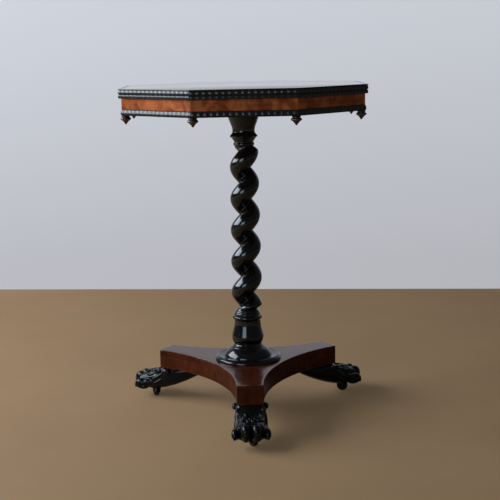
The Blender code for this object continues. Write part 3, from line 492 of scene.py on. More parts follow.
# Top, mouldings and frieze


def edge_layer(bm):
    return bm.verts.layers.float.get("edge") or bm.verts.layers.float.new("edge")


def make_top():
    """The veneered board. Its arris is eased and its underside is left unpolished."""
    flat = BOARD_HIGH.x + 0.8 * FIT_GAP
    bm = bmesh.new()
    corner = flat / math.cos(HALF_SIDE)
    bmesh.ops.create_circle(bm, cap_ends=True, radius=corner, segments=SIDES)
    bmesh.ops.rotate(bm, verts=bm.verts, cent=(0, 0, 0), matrix=Matrix.Rotation(HALF_SIDE, 3, "Z"))
    bmesh.ops.translate(bm, verts=bm.verts, vec=(0, 0, BOARD_LOW.z))
    lid = verts_of(bmesh.ops.extrude_face_region(bm, geom=bm.faces[:]))
    bmesh.ops.translate(bm, verts=lid, vec=(0, 0, BOARD_HIGH.z - BOARD_LOW.z))
    rim = [edge for edge in bm.edges if all(v.co.z > BOARD_HIGH.z - 0.001 for v in edge.verts)]
    bmesh.ops.bevel(
        bm, geom=rim, offset=0.0003, offset_type="OFFSET", segments=2, profile=0.5, affect="EDGES", material=-1
    )
    tidy(bm)
    for face in bm.faces:
        face.material_index = 1 if face.normal.z < -0.5 else 0
    piece("top_board_veneered", bm, [TOP_VENEER, DEAL], "top_board")


def rippled_strip(section, weights, outer):
    """One side's ripple moulding: a swept section whose beads wave in and out along its length."""
    half = outer * math.tan(HALF_SIDE)
    pitch = 2 * half / RIPPLES_PER_SIDE
    reach = half + pitch
    bm = swept_side(section, reach, (RIPPLES_PER_SIDE + 2) * 12 - 1)
    depth = {(round(x, 6), round(z, 6)): weight for (x, z), weight in zip(section, weights)}
    edge = edge_layer(bm)
    for vertex in bm.verts:
        weight = depth.get((round(vertex.co.x, 6), round(vertex.co.z, 6)), 0.0)
        crest = math.sin(math.pi * (vertex.co.y + half) / pitch) ** 2
        vertex.co.x -= weight * RIPPLE_DEPTH * (1 - crest)
        vertex[edge] = min(1.0, weight) * crest**3
    return mitre(bm)


def with_weights(*stretches):
    """Joins stretches of (points, ripple weight) into one section and its weights."""
    section, weights = [], []
    for points, weight in stretches:
        count = len(points)
        for index, point in enumerate(points):
            section.append(point)
            swell = math.sin(math.pi * index / (count - 1)) if weight else 0.0
            weights.append(weight * max(math.sqrt(max(swell, 0.0)), 0.4) if weight else 0.0)
    return section, weights


# Distance back from the face and height of each rippled row, which leans back a little towards its top
LOWER_ROW = (
    (0.0026, 0.0004), (0.0013, 0.0009), (0.0007, 0.0020), (0.0006, 0.0035),
    (0.0007, 0.0056), (0.0011, 0.0073), (0.0024, 0.0081),
)
UPPER_ROW = (
    (0.0020, 0.0093), (0.0008, 0.0098), (0.0002, 0.0110), (0.0001, 0.0128),
    (0.0005, 0.0150), (0.0011, 0.0169), (0.0024, 0.0179),
)
BASE_ROW = (
    (0.0028, 0.0016), (0.0010, 0.0022), (0.0001, 0.0038), (0.0003, 0.0062),
    (0.0008, 0.0088), (0.0014, 0.0107), (0.0028, 0.0116),
)


def make_top_moulding():
    """Two rippled rows with a deep quirk between them, under a plain fillet."""
    inner, outer = TOP_STRIP_LOW.x, TOP_STRIP_HIGH.x
    low, high = TOP_STRIP_LOW.z, TOP_STRIP_HIGH.z
    section, weights = with_weights(
        ([(inner, high), (inner, low), (outer - 0.0034, low)], 0),
        (through([(outer - back, low + rise) for back, rise in LOWER_ROW], 3), 0.5),
        ([(outer - 0.0032, low + 0.0083), (outer - 0.0032, low + 0.0091)], 0),
        (through([(outer - back, low + rise) for back, rise in UPPER_ROW], 3), 1.0),
        ([(outer - 0.0026, high - 0.0018), (outer - 0.0011, high - 0.0016), (outer - 0.0006, high - 0.0012)], 0),
        ([(outer - 0.0006, high - 0.0006), (outer - 0.0011, high)], 0),
    )
    strip = rippled_strip(section, weights, outer)
    for face in strip.faces:
        face.material_index = 1 if face.normal.z > 0.8 else 0
    for index in range(SIDES):
        name = f"top_moulding_{index + 1}"
        side = turned_copy(strip, index * TURN / SIDES)
        piece(f"{name}_rippled", side, [BLACK_MOULDING, BLACK_TURNED], name, sharp=50)


def make_base_moulding():
    """One tall rippled row over a thin fillet."""
    inner, outer = BASE_STRIP_LOW.x, BASE_STRIP_HIGH.x
    low, high = BASE_STRIP_LOW.z, BASE_STRIP_HIGH.z
    section, weights = with_weights(
        ([(inner, high), (inner, low), (outer - 0.0020, low), (outer - 0.0014, low + 0.0003)], 0),
        ([(outer - 0.0014, low + 0.0011), (outer - 0.0026, low + 0.0014)], 0),
        (through([(outer - back, low + rise) for back, rise in BASE_ROW], 3), 0.8),
        ([(outer - 0.0030, high - 0.0006), (outer - 0.0036, high)], 0),
    )
    strip = rippled_strip(section, weights, outer)
    for index in range(SIDES):
        name = f"base_moulding_{index + 1}"
        piece(f"{name}_rippled", turned_copy(strip, index * TURN / SIDES), BLACK_MOULDING, name, sharp=50)


def make_frieze():
    """Veneered boards, each with its own stretch of figure, bare on the inside."""
    inner, outer = FRIEZE_LOW.x, FRIEZE_HIGH.x
    low, high = FRIEZE_LOW.z, FRIEZE_HIGH.z
    half = outer * math.tan(HALF_SIDE)
    for index in range(SIDES):
        bm = swept_side([(inner, high), (inner, low), (outer, low), (outer, high)], half + 0.002, 24)
        mitre(bm)
        grain = bm.loops.layers.uv.new("veneer")
        for face in bm.faces:
            face.material_index = 1 if face.normal.x < -0.5 or abs(face.normal.z) > 0.5 else 0
            for loop in face.loops:
                loop[grain].uv = (loop.vert.co.y + 0.83 * index, loop.vert.co.z + 0.21 * index)
        bm = turned_copy(bm, index * TURN / SIDES)
        name = f"frieze_board_{index + 1}"
        piece(f"{name}_veneered", bm, [FRIEZE_VENEER, DEAL], name)


def make_pendants():
    """Turned drops: a short neck, a sharp shoulder and a hollow cone down to a blunt point."""
    low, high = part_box("pendant_1")
    root = BASE_STRIP_LOW.z - FIT_GAP
    drop = root - low.z
    profile = [(0, high.z), (0.004, high.z), (0.004, root), (0.0084, root), (0.0089, root - 0.0006)]
    profile += [(0.0089, root - 0.0014), (0.0085, root - 0.0019)]
    profile += through([(0.0083, root - 0.0026), (0.0084, root - 0.0036), (0.0092, root - 0.0044)], 4)
    profile += half_round((0.0096, root - 0.0046), (0.0102, root - 0.0088), 0.0012, 10)
    profile += through(
        [(0.0099, root - 0.0091), (0.0073, root - 0.0110), (0.0043, root - 0.0140), (0.0020, root - drop + 0.0014)], 6
    )
    profile += [(0.0010, root - drop + 0.0002), (0, root - drop)]
    bm = turning(profile, 48)
    edge = edge_layer(bm)
    for vertex in bm.verts:
        vertex[edge] = smooth_step((vertex.co.xy.length - 0.0104) / 0.001)
    for face in bm.faces:
        face.material_index = 1 if face.calc_center_median().z > root - 0.0042 else 0
    distance = ((BASE_STRIP_LOW.x + BASE_STRIP_HIGH.x) / 2) / math.cos(HALF_SIDE)
    for index in range(SIDES):
        made = bm.copy()
        bmesh.ops.translate(made, verts=made.verts, vec=(distance, 0, 0))
        made = turned_copy(made, HALF_SIDE + index * TURN / SIDES)
        piece(f"pendant_{index + 1}_turned", made, [PENDANT_STAIN, BLACK_TURNED], f"pendant_{index + 1}", sharp=40)


# Column


COLUMN_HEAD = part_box("top_bearer")[0].z - FIT_GAP
COLUMN_FOOT = DISC_HIGH.z + FIT_GAP
TWIST_BOTTOM = COLUMN_FOOT + 0.0840
TWIST_TOP = COLUMN_HEAD - 0.0900
NECK_BOTTOM = 0.0212
NECK_TOP = 0.0207


def twist_radius(share):
    """Radius at a share of half a turn from the crest: a round strand with a tight valley."""
    crest = (TWIST_RADIUS_TOP + TWIST_RADIUS_BOTTOM) / 2
    return crest - TWIST_DEPTH * (share**2 - share**20 / 10) / 0.9


def twist_form():
    """One strand wound up the column, right-handed, thinner towards the top, dying into a round neck at each end."""
    turns = (TWIST_TOP - TWIST_BOTTOM) / TWIST_PITCH
    steps = round(turns * 56)
    around = 64
    bm = bmesh.new()
    ring = []
    for index in range(around):
        share = 2 * index / around - 1
        share = math.copysign(abs(share) ** 0.85, share)
        angle = TWIST_CREST_ANGLE + share * math.pi
        radius = twist_radius(abs(share))
        ring.append(bm.verts.new((radius * math.cos(angle), radius * math.sin(angle), TWIST_BOTTOM)))
    section = bm.faces.new(ring)
    bmesh.ops.spin(
        bm,
        geom=[section, *section.edges, *section.verts],
        cent=(0, 0, 0),
        axis=(0, 0, 1),
        dvec=(0, 0, (TWIST_TOP - TWIST_BOTTOM) / steps),
        angle=turns * TURN,
        steps=steps,
    )
    mean = (TWIST_RADIUS_TOP + TWIST_RADIUS_BOTTOM) / 2
    edge = edge_layer(bm)
    for vertex in bm.verts:
        share = (vertex.co.z - TWIST_BOTTOM) / (TWIST_TOP - TWIST_BOTTOM)
        radius = vertex.co.xy.length
        crest = TWIST_RADIUS_BOTTOM + (TWIST_RADIUS_TOP - TWIST_RADIUS_BOTTOM) * share
        neck = NECK_BOTTOM if share < 0.5 else NECK_TOP
        rise = smooth_step(min(vertex.co.z - TWIST_BOTTOM, TWIST_TOP - vertex.co.z) / TWIST_RUNOUT)
        wanted = neck + (radius * crest / mean - neck) * rise
        vertex.co.x *= wanted / radius
        vertex.co.y *= wanted / radius
        vertex[edge] = smooth_step((radius - 0.030) / 0.003) * 0.6
    return tidy(bm)


def capital_form():
    head = COLUMN_HEAD
    profile = [(0, COLUMN_HIGH.z), (0.0158, COLUMN_HIGH.z), (0.0160, head), (0.0408, head), (0.0412, head - 0.0004)]
    profile += [(0.0412, head - 0.0036), (0.0408, head - 0.0040)]
    bell = [(0.0404, 0.0050), (0.0377, 0.0150), (0.0351, 0.0250), (0.0329, 0.0324), (0.0299, 0.0409), (0.0265, 0.0496)]
    bell += [(0.0253, 0.0539), (0.0248, 0.0583), (0.0252, 0.0627), (0.0275, 0.0668), (0.0302, 0.0700)]
    profile += through([(radius, head - drop) for radius, drop in bell], 6)
    profile += half_round((0.0303, head - 0.0703), (0.0303, head - 0.0724), 0.0006, 5)
    under = [(0.0290, 0.0730), (0.0262, 0.0762), (0.0236, 0.0798), (0.0216, 0.0830), (0.0211, 0.0845)]
    profile += through([(radius, head - drop) for radius, drop in under], 5)
    profile += half_round((0.0213, head - 0.0850), (0.0208, head - 0.0916), 0.0022, 10)
    profile += [(0.0200, head - 0.0925), (0, head - 0.0925)]
    return turning(profile, 80)


def vase_form():
    foot = COLUMN_FOOT
    profile = [(0, foot + 0.0880), (0.0205, foot + 0.0880), (0.0218, foot + 0.0866)]
    reeds = [(0.0234, 0.0846), (0.0252, 0.0818), (0.0270, 0.0784), (0.0288, 0.0750)]
    for start, end in zip(reeds, reeds[1:]):
        upper, lower = (start[0], foot + start[1]), (end[0], foot + end[1])
        profile += half_round(upper, lower, 0.0007, 5)
    profile += [(0.0290, foot + 0.0738), (0.0300, foot + 0.0732)]
    profile += half_round((0.0316, foot + 0.0712), (0.0316, foot + 0.0648), 0.0018, 9)
    profile += [(0.0300, foot + 0.0634), (0.0296, foot + 0.0615)]
    body = [(0.0292, 0.0600), (0.0293, 0.0560), (0.0300, 0.0496), (0.0319, 0.0405), (0.0342, 0.0312), (0.0356, 0.0243)]
    body += [(0.0351, 0.0182), (0.0331, 0.0124), (0.0311, 0.0094)]
    profile += through([(radius, foot + rise) for radius, rise in body], 7)
    profile += [(0.0303, foot + 0.0089), (0.0310, foot + 0.0085), (0.0312, foot + 0.0072), (0.0306, foot + 0.0067)]
    profile += through([(0.0311, foot + 0.0056), (0.0328, foot + 0.0038), (0.0364, foot + 0.0006)], 5)
    profile += [(0.0368, foot), (0.0190, foot), (0.0190, COLUMN_LOW.z), (0, COLUMN_LOW.z)]
    return turning(profile, 80)


def make_column():
    """The strand, the capital and the vase, which the turner and carver cut from one length of wood."""
    forms = [twist_form(), capital_form(), vase_form()]
    joined = bmesh.new()
    for form in forms:
        mesh = bpy.data.meshes.new("column_form")
        form.to_mesh(mesh)
        joined.from_mesh(mesh)
        bpy.data.meshes.remove(mesh)
    piece("column_twisted", joined, BLACK_TURNED, "column", sharp=45)


def make_socle_disc():
    """A full, sloping dome that stands in a wide, low rim with a raised lip."""
    low, top = DISC_LOW.z, DISC_HIGH.z
    shelf = low + 0.0087
    dome = [(0.0382, 0.0006), (0.0410, 0.0026), (0.0444, 0.0055), (0.0480, 0.0094), (0.0508, 0.0134), (0.0526, 0.0170)]
    profile = [(0.0193, top), (0.0372, top), (0.0377, top - 0.0002)]
    profile += through([(radius, top - drop) for radius, drop in dome], 5)
    profile += [(0.0531, shelf), (0.0534, shelf - 0.0008), (0.0545, shelf - 0.0010)]
    profile += through([(0.0560, shelf - 0.0008), (0.0605, shelf - 0.0004), (0.0640, shelf + 0.0002)], 4)
    profile += through([(0.0660, shelf + 0.0008), (0.0676, shelf + 0.0009), (0.0694, shelf - 0.0004), (0.0712, shelf - 0.0020)], 5)
    profile += [(0.0720, shelf - 0.0024), (0.0726, shelf - 0.0030)]
    profile += through([(0.0730, shelf - 0.0038), (0.0737, shelf - 0.0056), (0.0740, shelf - 0.0076)], 4)
    profile += [(0.0740, low + 0.0010), (0.0737, low + 0.0003), (0.0730, low), (0.0193, low)]
    piece("socle_disc_turned", turning(profile, 128, True), BLACK_SOCLE, "socle_disc", sharp=40)


# Platform


def platform_outline(arc_steps):
    """Three square arm ends joined by three hollow sides, each one arc."""
    half = ARM_END_WIDTH / 2
    sixth = math.radians(60)
    corner_out = ARM_LENGTH * math.cos(sixth) + half * math.sin(sixth)
    corner_up = ARM_LENGTH * math.sin(sixth) - half * math.cos(sixth)
    sag = corner_out - WAIST_DISTANCE
    radius = (corner_up**2 + sag**2) / (2 * sag)
    sweep = math.asin(corner_up / radius)
    outline = []
    for arm in ARM_ANGLES:
        for index in range(arc_steps + 1):
            turn = -sweep + 2 * sweep * index / arc_steps
            spot = Vector((WAIST_DISTANCE + radius - radius * math.cos(turn), radius * math.sin(turn)))
            spot.rotate(Matrix.Rotation(arm + sixth, 2))
            outline.append(spot)
    return outline


ARM_CORNERS = []
for corner_arm in ARM_ANGLES:
    for corner_side in (-0.5, 0.5):
        corner = Vector((ARM_LENGTH, corner_side * ARM_END_WIDTH))
        corner.rotate(Matrix.Rotation(corner_arm, 2))
        ARM_CORNERS.append(corner)


def make_platform():
    """A veneered three-armed board with softened, rubbed arrises. Its underside is bare."""
    low, top = PLATFORM_LOW.z, PLATFORM_HIGH.z
    bm = bmesh.new()
    floor = bm.faces.new([bm.verts.new((x, y, low)) for x, y in platform_outline(40)])
    lid = verts_of(bmesh.ops.extrude_face_region(bm, geom=[floor]))
    bmesh.ops.translate(bm, verts=lid, vec=(0, 0, top - low))
    tidy(bm)
    arrises = [edge for edge in bm.edges if edge.calc_face_angle(0) > math.radians(50)]
    soft = bmesh.ops.bevel(
        bm, geom=arrises, offset=0.0015, offset_type="OFFSET", segments=3, profile=0.5, affect="EDGES", material=-1
    )
    edge = edge_layer(bm)
    for face in soft["faces"]:
        for vertex in face.verts:
            vertex[edge] = 1.0
    lids = [face for face in bm.faces if abs(face.normal.z) > 0.99 and len(face.verts) > 20]
    ends = [face for face in bm.faces if abs(face.normal.z) < 0.1 and face.calc_area() > 0.001]
    bmesh.ops.inset_individual(bm, faces=lids + ends, thickness=0.0030, use_even_offset=True)
    for face in lids + ends:
        for vertex in face.verts:
            vertex[edge] = 0.0
    for height in (top - 0.0042, low + 0.0042):
        cut = bmesh.ops.bisect_plane(
            bm, geom=bm.verts[:] + bm.edges[:] + bm.faces[:], dist=0.000001, plane_co=(0, 0, height), plane_no=(0, 0, 1)
        )
        for vertex in verts_of(cut, "geom_cut"):
            at_corner = any((vertex.co.xy - spot).length < 0.0025 for spot in ARM_CORNERS)
            vertex[edge] = 0.8 if at_corner else 0.0
    bmesh.ops.recalc_face_normals(bm, faces=bm.faces)
    grain = bm.loops.layers.uv.new("veneer")
    for face in bm.faces:
        middle = face.calc_center_median()
        about = math.atan2(middle.x, -middle.y)
        lying = abs(face.normal.z) > 0.7
        face.material_index = 0 if face.normal.z > 0.3 else 1 if face.normal.z < -0.9 else 2
        for loop in face.loops:
            spot = loop.vert.co
            turn = math.atan2(spot.x, -spot.y) - about
            turn = (turn + math.pi) % TURN - math.pi
            loop[grain].uv = (spot.y + 0.5, spot.x) if lying else ((about + turn) * 0.22, spot.z + 2.0)
    piece("platform_veneered", bm, [PLATFORM_VENEER, DEAL, PLATFORM_SIDES], "platform", sharp=40)


# Paw feet, carved pointing along +X and then turned to their arms


PAW_SQUARENESS = 0.72
PAW_CLEARANCE = 0.0175
FOOT_HEIGHT = PLATFORM_LOW.z
TAIL_LENGTH = 0.102
HEEL_REACH = 0.036
TOE_ROOT_REACH = 0.060
TAIL_TIP_WIDTH = 0.030
ANKLE_WIDTH = 0.0634
WRIST_HOLLOW = 0.0022
# How high the instep stands at each distance outward from the arm's end
INSTEP = (
    (0.000, 0.0757), (0.008, 0.0690), (0.020, 0.0630), (0.032, 0.0598),
    (0.045, 0.0576), (0.056, 0.0548), (0.066, 0.0500),
)


def instep_height(reach):
    for (near, high), (far, low) in zip(INSTEP, INSTEP[1:]):
        if reach <= far:
            return high + (low - high) * max(0.0, reach - near) / (far - near)
    return INSTEP[-1][1]


def paw_section(reach):
    """Half width, underside and top of the foot at a distance outward from the arm's end."""
    inward = max(0.0, HEEL_REACH - reach) / (HEEL_REACH + TAIL_LENGTH)
    outward = min(max(0.0, reach) / TOE_ROOT_REACH, 1.0)
    underside = PAW_CLEARANCE + (FOOT_HEIGHT - 0.006 - PAW_CLEARANCE) * inward**1.6
    top = instep_height(reach) + 0.007 * smooth_step(-reach / 0.012)
    half_width = TAIL_TIP_WIDTH / 2 + (ANKLE_WIDTH - TAIL_TIP_WIDTH) / 2 * smooth_step(1.6 * (1 - inward))
    half_width -= WRIST_HOLLOW * smooth_step(1.5 * outward)
    return half_width, underside, top


def on_instep(reach, side, lift=0.0):
    """A point on the upper skin of the foot."""
    half_width, underside, top = paw_section(reach)
    across = min(abs(side) / half_width, 0.98) ** (1 / PAW_SQUARENESS)
    up = math.sqrt(1 - across**2) ** PAW_SQUARENESS
    return (ARM_LENGTH + reach, side, (top + underside) / 2 + up * (top - underside) / 2 + lift)


def add_paw_body(bm):
    """The ankle and its tail under the arm: rounded rings bridged one to the next."""
    stations, around = 30, 32
    rings = []
    for index in range(stations):
        reach = -TAIL_LENGTH + (TOE_ROOT_REACH + TAIL_LENGTH) * index / (stations - 1)
        half_width, underside, top = paw_section(reach)
        made = bmesh.ops.create_circle(bm, cap_ends=False, radius=1.0, segments=around)
        for vertex in made["verts"]:
            across, up = vertex.co.x, vertex.co.y
            across = math.copysign(abs(across) ** PAW_SQUARENESS, across) * half_width
            up = math.copysign(abs(up) ** PAW_SQUARENESS, up) * (top - underside) / 2
            vertex.co = (ARM_LENGTH + reach, across, (top + underside) / 2 + up)
        rings.append([edge for edge in bm.edges if all(v in made["verts"] for v in edge.verts)])
    for near, far in zip(rings, rings[1:]):
        bmesh.ops.bridge_loops(bm, edges=near + far)
    bmesh.ops.edgeloop_fill(bm, edges=rings[0])
    bmesh.ops.edgeloop_fill(bm, edges=rings[-1])


def add_form(bm, centre, axes, pitch=0.0, splay=0.0):
    """An egg-shaped mass, nose down by pitch and turned sideways by splay."""
    place = Matrix.Translation(centre) @ Matrix.Rotation(splay, 4, "Z") @ Matrix.Rotation(pitch, 4, "Y")
    bmesh.ops.create_uvsphere(
        bm, u_segments=28, v_segments=18, radius=1.0, matrix=place @ Matrix.Diagonal((*axes, 1))
    )


def add_lock(bm, path, thick, per_span=8):
    """A lock of hair or a fold of skin: beads strung close along a smooth line, finer towards its end."""
    line = through(path, per_span)
    for index, spot in enumerate(line):
        share = index / (len(line) - 1)
        size = thick * (0.45 + 0.55 * math.sin(math.pi * (0.2 + 0.8 * share)))
        bmesh.ops.create_icosphere(bm, subdivisions=2, radius=size, matrix=Matrix.Translation(spot))


# Sideways place, reach of the tip, half breadth, underside, top and splay of each toe
TOES = (
    (-0.0350, 0.0690, 0.0092, 0.0192, 0.0450, -0.20),
    (-0.0114, 0.0814, 0.0115, 0.0176, 0.0568, -0.03),
    (0.0114, 0.0814, 0.0115, 0.0176, 0.0568, 0.03),
    (0.0350, 0.0690, 0.0092, 0.0192, 0.0450, 0.20),
)


def add_toe(bm, side, tip, breadth, base, top, splay):
    """A toe: its knuckle, its full blunt end, the pad below and a short blunt claw in its sheath."""
    tall = top - base
    lean = Vector((math.cos(splay), math.sin(splay), 0))
    front = Vector((ARM_LENGTH + tip, side, base))

    def at(back, share):
        return front - lean * back + Vector((0, 0, share * tall))

    add_form(bm, at(0.0310, 0.64), (1.75 * breadth, 0.92 * breadth, 0.34 * tall), 0.20, splay)
    add_form(bm, at(0.0165, 0.52), (0.0164, breadth, 0.47 * tall), 0.16, splay)
    add_form(bm, at(0.0205, 0.25), (0.0150, 0.96 * breadth, 0.25 * tall), 0.0, splay)
    add_form(bm, at(0.0052, 0.46), (0.0058, 0.50 * breadth, 0.17 * tall), 0.30, splay)
    add_form(bm, at(0.0034, 0.30), (0.0040, 0.36 * breadth, 0.19 * tall), -0.10, splay)


def curl_line(reach, side, length, breadth, start, turns, steps, closing):
    """Points of a curl that lies on the instep: an oval that winds in towards its eye."""
    points = []
    for step in range(steps + 1):
        share = step / steps
        turn = start + turns * TURN * share
        size = 1 - closing * share
        spot_reach = reach + length * size * math.cos(turn)
        points.append(on_instep(spot_reach, side + breadth * size * math.sin(turn), 0.0012))
    return points


# Folds on the flank: reach and height of each end
FLANK_FOLDS = ((0.025, 0.0385, -0.002, 0.0600, 0.0056), (0.024, 0.0275, -0.003, 0.0485, 0.0058))


def add_mane(bm):
    """The carved hair: a scroll on each side of the instep, curls between the toes and folds on the flanks."""
    back = math.radians(135)
    for hand in (-1, 1):
        scroll = [on_instep(0.004, hand * 0.0275, 0.0016), on_instep(0.011, hand * 0.0268, 0.0014)]
        scroll += curl_line(0.0300, hand * 0.0162, 0.0165, hand * 0.0100, back, -1.5, 24, 0.62)
        add_lock(bm, scroll, 0.0027, 5)
        add_form(bm, on_instep(0.0310, hand * 0.0160, 0.0012), (0.0032, 0.0026, 0.0030))
        add_form(bm, on_instep(0.003, hand * 0.0272, 0.0012), (0.0056, 0.0052, 0.0052))
        add_lock(bm, curl_line(0.0440, hand * 0.0048, 0.0072, hand * 0.0036, back, -1.1, 12, 0.2), 0.0019, 4)
        curl = (ARM_LENGTH - 0.020, hand * 0.0314, FOOT_HEIGHT - 0.0076)
        add_form(bm, curl, (0.0100, 0.0074, 0.0074), 0.06, hand * 0.10)
        for near, low, far, high, thick in FLANK_FOLDS:
            middle = ((near + far) / 2 + 0.002, (low + high) / 2 - 0.002)
            fold = [(near, 0.0290, low), (middle[0], 0.0302, middle[1]), (far, 0.0300, high)]
            add_lock(bm, [(ARM_LENGTH + reach, hand * side, height) for reach, side, height in fold], thick)


def evaluated_bmesh(source):
    """The bmesh of an object after its modifiers, which is then removed."""
    bpy.context.view_layer.update()
    graph = bpy.context.evaluated_depsgraph_get()
    mesh = bpy.data.meshes.new_from_object(source.evaluated_get(graph))
    bm = bmesh.new()
    bm.from_mesh(mesh)
    bpy.data.objects.remove(source, do_unlink=True)
    bpy.data.meshes.remove(mesh)
    return bm


def scratch_object(name, bm):
    mesh = bpy.data.meshes.new(name)
    bm.to_mesh(mesh)
    bm.free()
    made = bpy.data.objects.new(name, mesh)
    bpy.context.scene.collection.objects.link(made)
    return made


def carve_out(target, cutters):
    """Cuts shapes out of an object, and returns what is left as a bmesh."""
    made = []
    for number, cutter in enumerate(cutters):
        other = scratch_object(f"cutter_{number}", tidy(cutter))
        other.hide_render = True
        cut = target.modifiers.new(other.name, "BOOLEAN")
        cut.operation = "DIFFERENCE"
        cut.solver = "EXACT"
        cut.object = other
        made.append(other)
    bm = evaluated_bmesh(target)
    for other in made:
        bpy.data.objects.remove(other, do_unlink=True)
    return bm


def box_form(low, high):
    bm = bmesh.new()
    middle = [(a + b) / 2 for a, b in zip(low, high)]
    sides = [b - a for a, b in zip(low, high)]
    bmesh.ops.create_cube(bm, size=1.0, matrix=Matrix.Translation(middle) @ Matrix.Diagonal((*sides, 1)))
    return bm


def peg_form(radius, low, high, centre, steps=64):
    bm = bmesh.new()
    place = Matrix.Translation((*centre, (low + high) / 2))
    bmesh.ops.create_cone(
        bm, cap_ends=True, segments=steps, radius1=radius, radius2=radius, depth=high - low, matrix=place
    )
    return bm


def carved_paw():
    bm = bmesh.new()
    add_paw_body(bm)
    for toe in TOES:
        add_toe(bm, *toe)
    add_mane(bm)
    bmesh.ops.recalc_face_normals(bm, faces=bm.faces)
    block = scratch_object("paw_block", bm)
    fused = block.modifiers.new("fused", "REMESH")
    fused.mode = "VOXEL"
    fused.voxel_size = 0.0009
    softened = block.modifiers.new("softened", "SMOOTH")
    softened.factor = 0.5
    softened.iterations = 3
    carved = scratch_object("paw_carved", evaluated_bmesh(block))
    seat = FOOT_HEIGHT - FIT_GAP
    return carve_out(
        carved,
        [
            box_form((0, -0.1, seat), (ARM_LENGTH + FIT_GAP, 0.1, seat + 0.05)),
            peg_form(POCKET_RADIUS, -0.001, PLATE_HIGH.z + FIT_GAP, (SWIVEL_DISTANCE, 0)),
        ],
    )


def make_feet():
    foot = carved_paw()
    edge = edge_layer(foot)
    foot.normal_update()
    for vertex in foot.verts:
        ring = [other.other_vert(vertex).co for other in vertex.link_edges]
        middle = sum(ring, Vector()) / max(len(ring), 1)
        raised = (vertex.co - middle).dot(vertex.normal)
        vertex[edge] = smooth_step(raised / 0.00012)
    for index, arm in enumerate(ARM_ANGLES):
        name = f"paw_foot_{index + 1}"
        piece(f"{name}_carved", turned_copy(foot, arm), BLACK_CARVED, name, sharp=50)


# Castors, made about the pivot with the wheel trailing along +X


def castor_plate_form():
    """The fixing plate with its riveted pivot, seen only from below."""
    low, high = PLATE_LOW.z, PLATE_HIGH.z
    plate_low = high - 0.0025
    profile = [(0, high), (0.0186, high), (0.0190, high - 0.0004), (0.0190, plate_low + 0.0004), (0.0186, plate_low)]
    profile += [(0.0030, plate_low), (0.0030, low + 0.0014), (0.0040, low + 0.0014)]
    profile += through([(0.0042, low + 0.0011), (0.0034, low + 0.0004), (0.0018, low + 0.0001), (0, low)], 3)
    return turning(profile, 40)


def castor_fork_form():
    """A bridge with a cheek on each side that runs down to a round boss at the axle."""
    low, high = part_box("castor_fork_1")
    bridge_low = high.z - 0.0030
    bm = turning(
        [(0.0034, high.z), (0.0104, high.z), (0.0110, high.z - 0.0006), (0.0110, bridge_low + 0.0006)]
        + [(0.0104, bridge_low), (0.0034, bridge_low)],
        40,
        True,
    )
    for sign in (-1, 1):
        cheek = bmesh.new()
        for y in (0.0061, 0.0085):
            for index in range(17):
                angle = math.pi + math.pi * index / 16
                cheek.verts.new((TRAIL + 0.0050 * math.cos(angle), sign * y, WHEEL_RADIUS + 0.0050 * math.sin(angle)))
            for x in (-0.0055, 0.0110):
                cheek.verts.new((x, sign * y, high.z - 0.0012))
        bmesh.ops.convex_hull(cheek, input=cheek.verts)
        bmesh.ops.dissolve_limit(cheek, angle_limit=0.01, verts=cheek.verts, edges=cheek.edges)
        rims = [edge for edge in cheek.edges if edge.calc_face_angle(0) > 0.9]
        bmesh.ops.bevel(
            cheek, geom=rims, offset=0.0005, offset_type="OFFSET", segments=2, profile=0.5, affect="EDGES", material=-1
        )
        tidy(cheek)
        mesh = bpy.data.meshes.new("cheek")
        cheek.to_mesh(mesh)
        bm.from_mesh(mesh)
        bpy.data.meshes.remove(mesh)
    return bm


def castor_wheel_form():
    """A small solid wheel with a crowned tread, a dished web and a hub boss, its axle along Y."""
    half = WHEEL_WIDTH / 2
    side = [(0.0025, half), (0.0052, half), (0.0056, half - 0.0004), (0.0064, half - 0.0018), (0.0098, half - 0.0018)]
    side += [(0.0106, half - 0.0008), (0.0116, half - 0.0006), (0.0122, half - 0.0012), (0.0127, half - 0.0024)]
    profile = side + [(0.0130, 0.0012)] + [(0.0130, -0.0012)] + [(radius, -height) for radius, height in reversed(side)]
    bm = turning(profile, 48, True)
    bmesh.ops.rotate(bm, verts=bm.verts, cent=(0, 0, 0), matrix=Matrix.Rotation(math.pi / 2, 3, "X"))
    edge = edge_layer(bm)
    for vertex in bm.verts:
        reach = math.hypot(vertex.co.x, vertex.co.z)
        vertex[edge] = smooth_step((reach - 0.0118) / 0.0010)
    return bm


def castor_axle_form():
    half = 0.0085
    profile = [(0, half), (0.0017, half), (0.0021, half - 0.0004), (0.0021, 0.0004 - half), (0.0017, -half), (0, -half)]
    bm = turning(profile, 24)
    bmesh.ops.rotate(bm, verts=bm.verts, cent=(0, 0, 0), matrix=Matrix.Rotation(math.pi / 2, 3, "X"))
    return bm


def screw_form(radius, head):
    """A countersunk screw head that faces down, with its slot."""
    bm = turning([(0, 0.0), (radius, 0.0), (radius, -0.15 * head), (0.92 * radius, -0.3 * head), (0, -0.36 * head)], 24)
    slot = box_form((-radius * 1.1, -radius * 0.13, -head), (radius * 1.1, radius * 0.13, -0.16 * head))
    return carve_out(scratch_object("screw_blank", bm), [slot])


